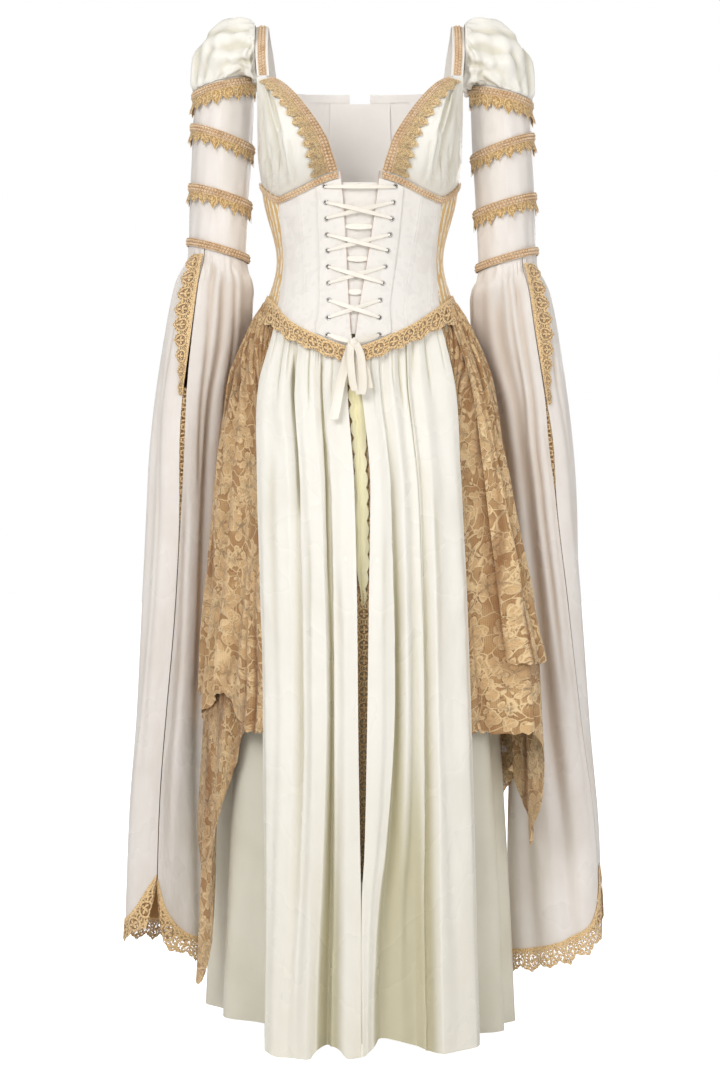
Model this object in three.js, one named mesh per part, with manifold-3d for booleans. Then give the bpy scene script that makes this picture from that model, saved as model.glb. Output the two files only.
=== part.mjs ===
// A full-length ivory satin corset dress, in the hollow shape that it keeps when it is worn.
// The frame is in millimetres with +Z up. The front faces -Y and the wearer's left is +X.
// The origin lies on the shoulder line, midway between the two straps, so heights below it are negative.
// The bodice is laced at the front and back over modesty panels. Gathered cups carry braid and pointed lace,
// puffed shoulders lead to straight sleeves with three lace bands each, and long bell sleeves hang from
// the elbow, open down their front. A satin underskirt hangs to the floor-length hem. Two pleated satin
// panels lie over it in front, and gathered floral lace covers it at the sides and back.
// Every cloth piece is a wall of its own, and neighbouring pieces lie about 0.3 mm apart at their seams.
import * as THREE from "three";
import { mergeVertices } from "three/addons/utils/BufferGeometryUtils.js";
import Module from "manifold-3d";

const wasm = await Module();
wasm.setup();

// Cloth thicknesses and the gap at a seam
const SATIN = 1.2;
const COUTIL = 2;
const LACE = 1;
const SEAM = 0.3;

// Horizontal sections of the bodice and of the outer skirt layer: half-width at the side seam and depths
// in front of it and behind it
const OUTER = [
  { z: -60, side: 128, front: 92, back: 84 },
  { z: -95, side: 134, front: 96, back: 86 },
  { z: -165, side: 140, front: 99, back: 86 },
  { z: -240, side: 136, front: 98, back: 80 },
  { z: -325, side: 117, front: 90, back: 74 },
  { z: -385, side: 130, front: 98, back: 83 },
  { z: -410, side: 144, front: 103, back: 89 },
  { z: -440, side: 157, front: 108, back: 98 },
  { z: -500, side: 175, front: 120, back: 124 },
  { z: -600, side: 189, front: 142, back: 152 },
  { z: -700, side: 198, front: 160, back: 170 },
  { z: -800, side: 206, front: 174, back: 183 },
  { z: -900, side: 212, front: 186, back: 194 },
  { z: -1000, side: 217, front: 197, back: 204 },
  { z: -1200, side: 226, front: 217, back: 220 },
  { z: -1400, side: 236, front: 237, back: 232 },
];

// Sections of the underskirt, which hangs inside the outer layer
const UNDER = [
  { z: -385, side: 125, front: 92, back: 78 },
  { z: -440, side: 139, front: 97, back: 90 },
  { z: -500, side: 151, front: 104, back: 110 },
  { z: -600, side: 163, front: 116, back: 130 },
  { z: -800, side: 178, front: 132, back: 155 },
  { z: -1000, side: 189, front: 144, back: 173 },
  { z: -1200, side: 199, front: 154, back: 188 },
  { z: -1400, side: 208, front: 162, back: 202 },
];

// Seam lines round the body: the angle from the centre front in degrees, and the height
const UNDERBUST = [
  { angle: 0, z: -213 },
  { angle: 10, z: -215 },
  { angle: 20, z: -221 },
  { angle: 26, z: -226 },
  { angle: 37, z: -236 },
  { angle: 49, z: -243 },
  { angle: 57, z: -245 },
  { angle: 70, z: -234 },
  { angle: 88, z: -217 },
];
const WAIST = [
  { angle: 0, z: -463 },
  { angle: 8, z: -456 },
  { angle: 15, z: -448 },
  { angle: 32, z: -428 },
  { angle: 50, z: -405 },
  { angle: 70, z: -389 },
  { angle: 90, z: -381 },
  { angle: 130, z: -386 },
  { angle: 180, z: -398 },
];
const BACK_TOP = [
  { angle: 88, z: -150 },
  { angle: 96, z: -146 },
  { angle: 104, z: -118 },
  { angle: 112, z: -92 },
  { angle: 122, z: -85 },
  { angle: 150, z: -82 },
  { angle: 180, z: -80 },
];

// The front of the waist sits a little towards the wearer's right
const LEAN = 9;
const LEAN_HEIGHTS = [-230, -450, -480, -660];
// Half-width of the laced opening in front, and of the one behind
const FRONT_GAP_TOP = 27;
const FRONT_GAP_BOTTOM = 2;
const BACK_GAP_TOP = 15;
const BACK_GAP_BOTTOM = 8;
// Seams between the front, side and back panels of the bodice: angles at the top, waist and lower edge
const SIDE_SEAM = [
  { z: -250, angle: 57 },
  { z: -325, angle: 66 },
  { z: -405, angle: 55 },
];
const BACK_SEAM = 96;
const EYELETS = 10;
const PLACKET = 28;
const PANEL_WIDTH = 84;
const EYELET_INSET = 18;

// Each sleeve: how much lower its seams sit, how far it hangs out, and how much its hem rises outwards
const SIDES = {
  left: { mirror: false, drop: 13, spread: 7, hemTilt: 22 },
  right: { mirror: true, drop: 0, spread: 0, hemTilt: 8 },
};

// The underskirt's hem, and how much lower it hangs on the wearer's left
const HEM = -1380;
const HEM_TILT = 12;

const rad = (degrees) => (degrees * Math.PI) / 180;
const mix = (a, b, t) => a + (b - a) * t;
const clamp = (t, low = 0, high = 1) => Math.min(high, Math.max(low, t));
const smooth = (t) => clamp(t) ** 2 * (3 - 2 * clamp(t));
const ramp = (x, from, to) => smooth((x - from) / (to - from));
const bump = (t, middle, width) => Math.exp(-(((t - middle) / width) ** 2));

// Reads every column of a table at one place along it, on a smooth curve through the rows
function read(table, key, place) {
  const rising = table[1][key] > table[0][key];
  const n = table.length;
  let i = 0;
  while (i < n - 2 && (rising ? place > table[i + 1][key] : place < table[i + 1][key])) i += 1;
  const span = table[i + 1][key] - table[i][key];
  const t = clamp((place - table[i][key]) / span);
  const row = {};
  for (const column of Object.keys(table[0])) {
    if (column === key) continue;
    const slope = (k) => {
      if (k === 0 || k === n - 1) {
        const j = Math.min(k, n - 2);
        return (table[j + 1][column] - table[j][column]) / (table[j + 1][key] - table[j][key]);
      }
      return (table[k + 1][column] - table[k - 1][column]) / (table[k + 1][key] - table[k - 1][key]);
    };
    const h00 = 2 * t ** 3 - 3 * t ** 2 + 1;
    const h10 = t ** 3 - 2 * t ** 2 + t;
    const h01 = 1 - h00;
    const h11 = t ** 3 - t ** 2;
    row[column] =
      h00 * table[i][column] +
      h10 * span * slope(i) +
      h01 * table[i + 1][column] +
      h11 * span * slope(i + 1);
  }
  return row;
}

// A point on the bodice or the outer skirt layer, moved out by a distance
function outerPoint(angle, z, out = 0) {
  const section = read(OUTER, "z", z);
  const cosine = Math.cos(rad(angle));
  const depth = cosine > 0 ? section.front : section.back;
  return new THREE.Vector3((section.side + out) * Math.sin(rad(angle)), -(depth + out) * cosine, z);
}

const waistZ = (angle) => read(WAIST, "angle", angle).z;
const underbustZ = (angle) => read(UNDERBUST, "angle", angle).z;
const backTopZ = (angle) => read(BACK_TOP, "angle", angle).z;
const sideSeam = (z) => read(SIDE_SEAM, "z", z).angle;

// The angle at which the body's surface lies a distance x from the centre
const angleOf = (x, z) => (Math.asin(clamp(x / read(OUTER, "z", z).side, -1, 1)) * 180) / Math.PI;

// A closed wall of cloth. The form gives its outer points, with u running from the front round to the
// back and v running down. Cells that the open function names are left out as holes.
function wall(form, columns, rows, thickness, { ring = false, open = () => false } = {}) {
  const STEP = 1e-4;
  const across = ring ? columns : columns + 1;
  const outer = [];
  const inner = [];
  for (let i = 0; i < across; i += 1) {
    for (let j = 0; j <= rows; j += 1) {
      const u = i / columns;
      const v = j / rows;
      const point = form(u, v);
      const u0 = ring ? u - STEP : Math.max(0, u - STEP);
      const u1 = ring ? u + STEP : Math.min(1, u + STEP);
      const along = form(u1, v).sub(form(u0, v));
      const down = form(u, Math.min(1, v + STEP)).sub(form(u, Math.max(0, v - STEP)));
      const normal = down.cross(along).normalize();
      outer.push(point);
      inner.push(point.clone().addScaledVector(normal, -thickness));
    }
  }
  const points = [...outer, ...inner];
  const corner = (i, j, layer) => layer * outer.length + (i % across) * (rows + 1) + j;
  const present = (i, j) => {
    if (j < 0 || j >= rows) return false;
    if (!ring && (i < 0 || i >= columns)) return false;
    return !open((i + columns) % columns, j);
  };
  const faces = [];
  const quad = (a, b, c, d) => faces.push(a, b, c, a, c, d);
  for (let i = 0; i < columns; i += 1) {
    for (let j = 0; j < rows; j += 1) {
      if (!present(i, j)) continue;
      const [a, b, c, d] = [corner(i, j, 0), corner(i, j + 1, 0), corner(i + 1, j + 1, 0), corner(i + 1, j, 0)];
      const [a1, b1, c1, d1] = [corner(i, j, 1), corner(i, j + 1, 1), corner(i + 1, j + 1, 1), corner(i + 1, j, 1)];
      quad(a, b, c, d);
      quad(a1, d1, c1, b1);
      if (!present(i - 1, j)) quad(a, a1, b1, b);
      if (!present(i + 1, j)) quad(d, c, c1, d1);
      if (!present(i, j - 1)) quad(a, d, d1, a1);
      if (!present(i, j + 1)) quad(b, b1, c1, c);
    }
  }
  const geometry = new THREE.BufferGeometry();
  geometry.setAttribute("position", new THREE.Float32BufferAttribute(points.flatMap((p) => p.toArray()), 3));
  geometry.setIndex(faces);
  return geometry;
}

// The same wall on the wearer's other side
function mirrored(geometry) {
  const other = geometry.clone();
  const position = other.getAttribute("position");
  for (let i = 0; i < position.count; i += 1) position.setX(i, -position.getX(i));
  const index = other.getIndex();
  for (let i = 0; i < index.count; i += 3) {
    const kept = index.getX(i + 1);
    index.setX(i + 1, index.getX(i + 2));
    index.setX(i + 2, kept);
  }
  return other;
}

function solidOf(geometry) {
  const bare = new THREE.BufferGeometry();
  bare.setAttribute("position", geometry.getAttribute("position"));
  bare.setIndex(geometry.getIndex());
  const merged = mergeVertices(bare, 1e-4);
  return new wasm.Manifold(
    new wasm.Mesh({
      numProp: 3,
      vertProperties: new Float32Array(merged.getAttribute("position").array),
      triVerts: new Uint32Array(merged.getIndex().array),
    }),
  );
}

// Several closed geometries joined into one body
function joined(geometries) {
  let whole = solidOf(geometries[0]);
  for (const geometry of geometries.slice(1)) whole = whole.add(solidOf(geometry));
  const mesh = whole.getMesh();
  const positions = [];
  for (let i = 0; i < mesh.numVert; i += 1) {
    positions.push(...mesh.vertProperties.subarray(i * mesh.numProp, i * mesh.numProp + 3));
  }
  const geometry = new THREE.BufferGeometry();
  geometry.setAttribute("position", new THREE.Float32BufferAttribute(positions, 3));
  geometry.setIndex(new THREE.Uint32BufferAttribute(mesh.triVerts, 1));
  return geometry;
}

const cloth = (colour, roughness) => new THREE.MeshStandardMaterial({ color: colour, roughness, metalness: 0 });
const MATERIALS = {
  satin: cloth(0xf4f1e4, 0.35),
  sleeveSatin: cloth(0xefe9e4, 0.4),
  corsetCloth: cloth(0xf3f1ee, 0.6),
  underskirtSatin: cloth(0xe6e3d2, 0.4),
  lining: cloth(0xe9dfae, 0.45),
  lace: cloth(0xc9a069, 0.75),
  trim: cloth(0xc8a26b, 0.8),
  striped: cloth(0xe2c288, 0.6),
  cord: cloth(0xefe8e0, 0.6),
};

const dress = new THREE.Group();

// Moves the front of the waist sideways, the same way in every piece
function leaned(geometry) {
  const [start, full, hold, end] = LEAN_HEIGHTS;
  const position = geometry.getAttribute("position");
  for (let i = 0; i < position.count; i += 1) {
    const [x, y, z] = [position.getX(i), position.getY(i), position.getZ(i)];
    const level = Math.min(ramp(z, start, full), ramp(z, end, hold));
    position.setX(i, x - LEAN * level * ramp(y, -20, -105) * ramp(Math.abs(x), 145, 90));
  }
  return geometry;
}

function add(name, geometry, material) {
  const mesh = new THREE.Mesh(leaned(geometry), material);
  mesh.name = name;
  dress.add(mesh);
}

// Adds a piece on both sides of the dress. The maker gets the side's own values.
function addPair(name, material, make) {
  for (const [side, values] of Object.entries(SIDES)) {
    const geometry = make(values);
    add(`${name}_${side}`, values.mirror ? mirrored(geometry) : geometry, material);
  }
}

// Bodice panels

const BODICE_ROWS = 7;
const BACK_ROWS = 9;
const frontGap = (z) => mix(FRONT_GAP_TOP, FRONT_GAP_BOTTOM, clamp((z + 214) / (-450 + 214)));
const backGap = (z) => mix(BACK_GAP_TOP, BACK_GAP_BOTTOM, clamp((z + 80) / (-398 + 80)));

// A point of the front panel by its share of the way from the opening's edge to the side seam
function frontPanelPoint(u, v, out, { from = 0, to = 1, top = 0, foot = 0 } = {}) {
  const share = mix(from, to, u);
  let angle = mix(12, 57, share);
  let z = 0;
  // The angle and the height of a point depend on each other, so they are found together
  for (let pass = 0; pass < 3; pass += 1) {
    z = mix(underbustZ(angle) - SEAM - top, waistZ(angle) + SEAM + foot, v);
    angle = mix(angleOf(frontGap(z), z), sideSeam(z), share);
  }
  return outerPoint(angle, z, out);
}

function corsetFront() {
  return wall((u, v) => frontPanelPoint(u, v, 0), 8, BODICE_ROWS, COUTIL);
}

// A strip of cloth along the opening that carries the eyelets
function eyeletPlacket() {
  const HEIGHT = 1.7;
  const SEAT = 1.05;
  const RING_TOP = 2.4;
  const RING_RADIUS = 3.3;
  const HOLE_RADIUS = 1.7;
  const RING_SIDES = 5;
  const strip = wall(
    (u, v) => frontPanelPoint(u, v, HEIGHT, { to: PLACKET / PANEL_WIDTH, top: 10.5, foot: 6.5 }),
    2,
    BODICE_ROWS,
    HEIGHT - 0.75,
  );
  const rings = [];
  for (let i = 0; i < EYELETS; i += 1) {
    const seat = frontPanelPoint(EYELET_INSET / PANEL_WIDTH, eyeletShare(i), SEAT);
    const out = frontPanelPoint(EYELET_INSET / PANEL_WIDTH, eyeletShare(i), SEAT + 9);
    const ring = new THREE.LatheGeometry(
      [
        new THREE.Vector2(HOLE_RADIUS, 0),
        new THREE.Vector2(RING_RADIUS, 0),
        new THREE.Vector2(mix(HOLE_RADIUS, RING_RADIUS, 0.5), RING_TOP - SEAT),
        new THREE.Vector2(HOLE_RADIUS, 0),
      ],
      RING_SIDES,
    );
    const outward = out.sub(seat).normalize();
    ring.applyQuaternion(new THREE.Quaternion().setFromUnitVectors(new THREE.Vector3(0, 1, 0), outward));
    ring.translate(seat.x, seat.y, seat.z);
    rings.push(ring);
  }
  return joined([strip, ...rings]);
}

const eyeletShare = (i) => mix(0.068, 0.955, i / (EYELETS - 1));

function corsetSide() {
  return wall(
    (u, v) => {
      let z = 0;
      let angle = mix(58, BACK_SEAM, u);
      for (let pass = 0; pass < 3; pass += 1) {
        z = mix(underbustZ(Math.min(angle, 88)) - SEAM, waistZ(angle) + SEAM, v);
        angle = mix(sideSeam(z) + 0.2, BACK_SEAM - 0.2, u);
      }
      return outerPoint(angle, z);
    },
    5,
    BODICE_ROWS,
    COUTIL,
  );
}

function corsetBack() {
  return wall(
    (u, v) => {
      let z = 0;
      let angle = mix(BACK_SEAM, 175, u);
      for (let pass = 0; pass < 3; pass += 1) {
        z = mix(backTopZ(angle), waistZ(angle) + SEAM, v);
        angle = mix(BACK_SEAM, 180 - angleOf(backGap(z), z), u);
      }
      return outerPoint(angle, z);
    },
    7,
    BACK_ROWS,
    COUTIL,
  );
}

// The panel behind the front lacing
function frontModesty() {
  const HALF = 24;
  const TOP = -231;
  const BOTTOM = -438;
  return wall(
    (u, v) => outerPoint(mix(-HALF, HALF, u) * mix(1, 0.5, v), mix(TOP, BOTTOM, v), -COUTIL - 1),
    4,
    BODICE_ROWS,
    SATIN,
  );
}

function backModesty() {
  const HALF = 19;
  const TOP = -94;
  const BOTTOM = -386;
  return wall(
    (u, v) => outerPoint(180 + mix(-HALF, HALF, u), mix(TOP, BOTTOM, v), -COUTIL - 1.2),
    4,
    BACK_ROWS,
    SATIN,
  );
}

// Cups

// The neckline edge of a cup and its armhole edge, from the underbust seam up to the strap
const NECKLINE = [
  { v: 0, x: 28, y: -95, z: -215 },
  { v: 0.2, x: 37, y: -103, z: -193 },
  { v: 0.35, x: 46, y: -106, z: -171 },
  { v: 0.55, x: 65, y: -105, z: -142 },
  { v: 0.75, x: 88, y: -95, z: -112 },
  { v: 0.9, x: 107, y: -80, z: -93 },
  { v: 1, x: 124, y: -67, z: -83 },
];
const ARMHOLE = [
  { v: 0, x: 136, y: -4, z: -217 },
  { v: 0.3, x: 141, y: -17, z: -188 },
  { v: 0.6, x: 142, y: -37, z: -150 },
  { v: 0.85, x: 142, y: -54, z: -110 },
  { v: 1, x: 142, y: -63, z: -82 },
];
const CUP_FULLNESS = 52;
const CUP_GATHERS = 7;
const GATHER_DEPTH = 2.2;

const gatherReach = (u, v) =>
  ramp(u, 0.22, 0.42) * (0.35 + 0.65 * Math.abs(2 * v - 1)) * ramp(v, 0, 0.12) * ramp(v, 1, 0.8);

function cupPoint(u, v, gathered = 1) {
  const neck = read(NECKLINE, "v", v);
  const arm = read(ARMHOLE, "v", v);
  const neckFoot = NECKLINE[0];
  const armFoot = ARMHOLE[0];
  const footAngle = mix(12, 88, u);
  const foot = outerPoint(footAngle, underbustZ(footAngle) + SEAM);
  const settle = (1 - v) ** 2;
  const point = new THREE.Vector3(
    mix(neck.x, arm.x, u) + settle * (foot.x - mix(neckFoot.x, armFoot.x, u)),
    mix(neck.y, arm.y, u) + settle * (foot.y - mix(neckFoot.y, armFoot.y, u)),
    mix(neck.z, arm.z, u) + settle * (foot.z - mix(neckFoot.z, armFoot.z, u)),
  );
  const round = Math.max(0, Math.sin(Math.PI * u)) ** 0.85;
  const lift = Math.sin(Math.PI * clamp(v) ** 0.85);
  const gather = gathered * GATHER_DEPTH * Math.cos(2 * Math.PI * CUP_GATHERS * u) * gatherReach(u, v);
  const push = CUP_FULLNESS * round * lift + gather;
  point.y -= push;
  point.x += 0.12 * push;
  return point;
}

const cup = () => wall((u, v) => cupPoint(u, 1 - v), 14, 6, SATIN);

// A strip that lies on the cup along its neckline, with a braid edge and pointed lace
function neckLace() {
  const POINTS = 9;
  const BRAID = 11;
  const DEPTH = [9, 18];
  const REACH = 0.96;
  const rowWidth = (v) => cupPoint(0, v, 0).distanceTo(cupPoint(1, v, 0));
  return wall(
    (u, v) => {
      const place = mix(0.02, 0.96, 1 - v);
      const tooth = Math.abs(((place * POINTS) % 1) * 2 - 1);
      const width = u <= 0.5 ? mix(1, BRAID, u * 2) : BRAID + mix(...DEPTH, 1 - tooth) * (u - 0.5) * 2;
      const across = REACH * Math.tanh(width / (REACH * rowWidth(place)));
      const here = cupPoint(across, place, 0);
      const clear = LACE + 1.5 + GATHER_DEPTH * gatherReach(across, place);
      const step = 1e-3;
      const facing = Math.max(across, 0.07);
      const along = cupPoint(facing + step, place, 0).sub(cupPoint(facing - step, place, 0));
      const down = cupPoint(facing, place - step, 0).sub(cupPoint(facing, place + step, 0));
      return here.addScaledVector(down.cross(along).normalize(), clear);
    },
    2,
    2 * POINTS,
    LACE,
  );
}

// The braid under the cup, on the bodice's upper edge
function underbustBraid() {
  const WIDTH = 9;
  return wall(
    (u, v) => {
      const angle = mix(12.5, 87, u);
      return outerPoint(angle, underbustZ(angle) - 0.6 - WIDTH * v, LACE + 0.75);
    },
    14,
    1,
    LACE,
  );
}

// Straps run from the cup over the shoulder to the back panel
const STRAP = [
  { v: 0, x: 133.2, y: -65.5, z: -81, half: 8.6, turn: 14 },
  { v: 0.18, x: 135.5, y: -58, z: -52, half: 8.6, turn: 10 },
  { v: 0.38, x: 136.2, y: -34, z: -18, half: 8.6, turn: 4 },
  { v: 0.52, x: 136.2, y: 0, z: -0.2, half: 8.6, turn: 0 },
  { v: 0.66, x: 135, y: 20, z: -14, half: 9.5, turn: -20 },
  { v: 0.82, x: 129, y: 34, z: -47, half: 11.5, turn: -50 },
  { v: 1, x: 120.8, y: 38.6, z: -87, half: 12, turn: -66 },
];

function strapPoint(across, v, out = 0) {
  const here = read(STRAP, "v", v);
  const step = 1e-3;
  const before = read(STRAP, "v", clamp(v - step));
  const after = read(STRAP, "v", clamp(v + step));
  const point = new THREE.Vector3(here.x, here.y, here.z);
  const widthWay = new THREE.Vector3(Math.cos(rad(here.turn)), Math.sin(rad(here.turn)), 0);
  const along = new THREE.Vector3(after.x - before.x, after.y - before.y, after.z - before.z);
  const outward = widthWay.clone().cross(along).normalize().negate();
  point.addScaledVector(widthWay, across * here.half);
  return point.addScaledVector(outward, -out);
}

const STRAP_ROWS = 14;
const STRAP_END = 0.985;
const strap = () => wall((u, v) => strapPoint(1 - 2 * u, STRAP_END * v), 2, STRAP_ROWS, SATIN);

function strapBraid() {
  const HALF_SHARE = 0.62;
  const ROWS = 7;
  return wall(
    (u, v) => strapPoint((1 - 2 * u) * HALF_SHARE, Math.max(0.02, (v * STRAP_END * ROWS) / STRAP_ROWS), LACE + 0.5),
    1,
    ROWS,
    LACE,
  );
}

// Sleeves

const ARM_TOP = { x: 190, y: 4, z: -80, radius: 43, tilt: -11 };
const ELBOW = { x: 200, y: 20, z: -316, radius: 41.5, tilt: 12 };

// The ring of the straight sleeve at a share of its length. Turn 0 is the front, 90 degrees the outer side.
function sleevePoint(turn, share, { drop, spread }, out = 0) {
  const outerSide = Math.sin(rad(turn));
  const radius = mix(ARM_TOP.radius, ELBOW.radius, share) + out;
  const tilt = mix(ARM_TOP.tilt, ELBOW.tilt, ramp(share, 0, 0.35));
  return new THREE.Vector3(
    mix(ARM_TOP.x, ELBOW.x, share) + spread + radius * outerSide,
    mix(ARM_TOP.y, ELBOW.y, share) - radius * Math.cos(rad(turn)),
    mix(ARM_TOP.z, ELBOW.z, share) - drop + tilt * outerSide,
  );
}

const SLEEVE_COLUMNS = 20;
const upperSleeve = (values) =>
  wall((u, v) => sleevePoint(360 * u, mix(0.002, 0.998, v), values), SLEEVE_COLUMNS, 3, SATIN, { ring: true });

// The puffed shoulder bends from the armhole, which faces the body, down to the top of the sleeve
const PUFF_START = { x: 145.4, y: 0, z: -35, up: 37.5, deep: 50 };
const PUFF_GATHERS = 10;

function puffPoint(turn, v, { drop, spread }) {
  const bend = rad(90 * v);
  const outerSide = Math.sin(rad(turn));
  const wayX = Math.sin(bend);
  const wayZ = Math.cos(bend);
  const swell = Math.max(0, Math.sin(Math.PI * v)) ** 0.8;
  const outside = (1 + outerSide) / 2;
  const full = mix(PUFF_START.up, ARM_TOP.radius, v) + swell * mix(-5, 27 + drop * 0.3, outside);
  const gather = Math.cos(rad(PUFF_GATHERS * turn)) * mix(2.4, 0.8, swell) * ramp(v, 0, 0.1) * ramp(v, 1, 0.93);
  const deep = mix(PUFF_START.deep, ARM_TOP.radius, v) + 10 * swell + gather;
  const reach = (full + gather * ramp(outside, 0.15, 0.5)) * outerSide;
  return new THREE.Vector3(
    mix(PUFF_START.x, ARM_TOP.x + spread, v) + reach * wayX,
    mix(PUFF_START.y, ARM_TOP.y, v) - deep * Math.cos(rad(turn)),
    mix(PUFF_START.z, ARM_TOP.z - drop, v) + reach * wayZ + ARM_TOP.tilt * outerSide * ramp(v, 0.6, 1),
  );
}

const puff = (values) =>
  wall((u, v) => puffPoint(360 * u, v, values), 2 * PUFF_GATHERS, 5, SATIN, { ring: true });

// A lace band round the sleeve: a braid with pointed lace that stands away on the outer side
const BANDS = {
  top: { share: 0.03, tilt: 0, braid: 10, points: 17 },
  middle: { share: 0.3, tilt: 5, braid: 11, points: 18 },
  low: { share: 0.64, tilt: 1, braid: 11, points: 18 },
};
const BAND_POINTS = 10;

function laceBand({ share, tilt, braid, points }) {
  return (values) =>
    wall(
      (u, v) => {
        const turn = 360 * u;
        const tooth = 1 - Math.abs(((u * BAND_POINTS) % 1) * 2 - 1);
        const fall = v <= 0.5 ? braid * v * 2 : braid + points * mix(0.45, 1, tooth) * (v - 0.5) * 2;
        const outerSide = Math.sin(rad(turn));
        const stand = 2 + 5 * ((1 + outerSide) / 2) ** 2 * ramp(v, 0.4, 1);
        const point = sleevePoint(turn, share, values, stand);
        point.z += tilt * outerSide - fall;
        return point;
      },
      2 * BAND_POINTS,
      2,
      LACE,
      { ring: true },
    );
}

function elbowBraid(values) {
  const WIDTH = 11;
  return wall(
    (u, v) => {
      const point = sleevePoint(360 * u, 0.97, values, 2.2);
      point.z += 3 - WIDTH * v;
      return point;
    },
    SLEEVE_COLUMNS,
    1,
    LACE,
    { ring: true },
  );
}

// Sections of the bell sleeve: centre, long and short half-axes, and how far the long one turns back
const BELL = [
  { z: -316, x: 200, y: 20, long: 41.5, short: 41.5, turn: 10 },
  { z: -334, x: 201, y: 21, long: 49, short: 47, turn: 10 },
  { z: -366, x: 205, y: 27, long: 57, short: 49, turn: 18 },
  { z: -440, x: 216, y: 42, long: 66, short: 48, turn: 30 },
  { z: -520, x: 235, y: 50, long: 60, short: 46, turn: 34 },
  { z: -600, x: 246, y: 56, long: 58, short: 46, turn: 36 },
  { z: -700, x: 253, y: 60, long: 57, short: 46, turn: 36 },
  { z: -960, x: 262, y: 66, long: 62, short: 48, turn: 34 },
  { z: -1100, x: 266, y: 70, long: 71, short: 50, turn: 32 },
  { z: -1300, x: 267, y: 70, long: 77, short: 54, turn: 30 },
];
// Height of the hem round the bell, from the opening's outer edge round to its inner edge
const BELL_HEM = [
  { t: 0, z: -1190 },
  { t: 0.035, z: -1214 },
  { t: 0.08, z: -1242 },
  { t: 0.13, z: -1258 },
  { t: 0.22, z: -1264 },
  { t: 0.5, z: -1270 },
  { t: 0.8, z: -1278 },
  { t: 0.9, z: -1270 },
  { t: 0.95, z: -1252 },
  { t: 0.98, z: -1228 },
  { t: 1, z: -1196 },
];
// Soft valleys down the bell: place round it at the elbow and at the hem, width and depth
const BELL_VALLEYS = [
  { top: 0.9, hem: 0.84, width: 0.03, depth: 9 },
  { top: 0.8, hem: 0.7, width: 0.035, depth: 8 },
  { top: 0.14, hem: 0.2, width: 0.04, depth: 7 },
  { top: 0.36, hem: 0.36, width: 0.05, depth: 9 },
  { top: 0.58, hem: 0.55, width: 0.05, depth: 8 },
];
const BELL_GATHERS = 12;
// Where the front opening lies round each bell, in degrees from the front towards the outer side
const OPENING = [
  { z: -316, left: 28, right: 24 },
  { z: -440, left: 17, right: 12 },
  { z: -640, left: 14, right: -4 },
  { z: -800, left: 27, right: -4 },
  { z: -975, left: 43, right: 4 },
  { z: -1110, left: 55, right: 6 },
  { z: -1300, left: 76, right: 8 },
];
const OPENING_GAP = 7;

function bellTurn(t, level, section, mirror) {
  const { left, right } = read(OPENING, "z", level);
  const gap = (OPENING_GAP / (Math.PI * (section.long + section.short))) * 360;
  return (mirror ? right : left) + gap / 2 + t * (360 - gap);
}

function bellPoint(t, z, values, out = 0) {
  const { drop, spread, mirror } = values;
  const level = z + drop;
  const section = read(BELL, "z", level);
  const fallShare = clamp((level + 316) / (-1260 + 316));
  const turn = bellTurn(t, level, section, mirror);
  let push = out;
  for (const valley of BELL_VALLEYS) {
    push -= valley.depth * ramp(fallShare, 0.02, 0.3) * bump(t, mix(valley.top, valley.hem, fallShare), valley.width);
  }
  push += 1.8 * Math.cos(2 * Math.PI * BELL_GATHERS * t) * ramp(fallShare, 0.004, 0.02) * ramp(fallShare, 0.16, 0.04);
  const around = rad(turn) + rad(section.turn);
  const alongLong = (section.long + push) * Math.sin(around);
  const alongShort = -(section.short + push) * Math.cos(around);
  const c = Math.cos(rad(section.turn));
  const s = Math.sin(rad(section.turn));
  return new THREE.Vector3(
    section.x + spread + alongLong * c + alongShort * s,
    section.y + alongShort * c - alongLong * s,
    z,
  );
}

// The hem's height, straight between neighbouring columns of the bell
function bellHem(t, values) {
  const place = clamp(t) * BELL_COLUMNS;
  const i = Math.min(BELL_COLUMNS - 1, Math.floor(place));
  const last = BELL[BELL.length - 1];
  const tilt = (k) => values.hemTilt * Math.sin(rad(bellTurn(k / BELL_COLUMNS, last.z, last, values.mirror)));
  const at = (k) => read(BELL_HEM, "t", k / BELL_COLUMNS).z + tilt(k);
  return mix(at(i), at(i + 1), place - i) - values.drop * 0.5;
}

// The bell's upper edge follows the tilted elbow seam
function bellTop(t, values) {
  const turn = bellTurn(t, BELL[0].z, BELL[0], values.mirror);
  return ELBOW.z - 3 * SEAM - values.drop + ELBOW.tilt * Math.sin(rad(turn));
}

const BELL_COLUMNS = 2 * BELL_GATHERS;
function bellSleeve(values) {
  return wall(
    (u, v) => {
      const hem = bellHem(u, values);
      const top = bellTop(u, values);
      const z = mix(top, hem, v ** 1.5);
      const point = bellPoint(u, mix(z, ELBOW.z - values.drop, ramp(v, 0.12, 0)), values);
      point.z = z;
      return point;
    },
    BELL_COLUMNS,
    6,
    SATIN,
  );
}

// Pointed lace on the hem, following its curve, with one hole in each scallop
function bellHemLace(values) {
  const SCALLOPS = 10;
  const WIDTH = 34;
  const PERIMETER = 400;
  const hemZ = (t) => bellHem(t, values);
  const inEdges = (t, u) => Math.min(Math.max(t, 0.3 * u), 1 - 0.3 * (1 - u));
  return wall(
    (u, v) => {
      const step = 0.01;
      const rise = hemZ(u + step) - hemZ(u - step);
      const run = (Math.min(1, u + step) - Math.max(0, u - step)) * PERIMETER;
      const length = Math.hypot(rise, run);
      const phase = (u * SCALLOPS) % 1;
      const tooth = phase < 0.01 || phase > 0.99 ? 0.66 : 1;
      const fall = 1.5 + WIDTH * tooth * v;
      const sway = clamp(rise / length, -0.75, 0.75);
      const t = inEdges(u + (sway * fall) / PERIMETER, u);
      return bellPoint(t, hemZ(u) - (run / length) * fall, values, 2.3 + v);
    },
    3 * SCALLOPS,
    3,
    LACE,
    { open: (i, j) => i % 3 === 1 && j === 1 },
  );
}

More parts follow.
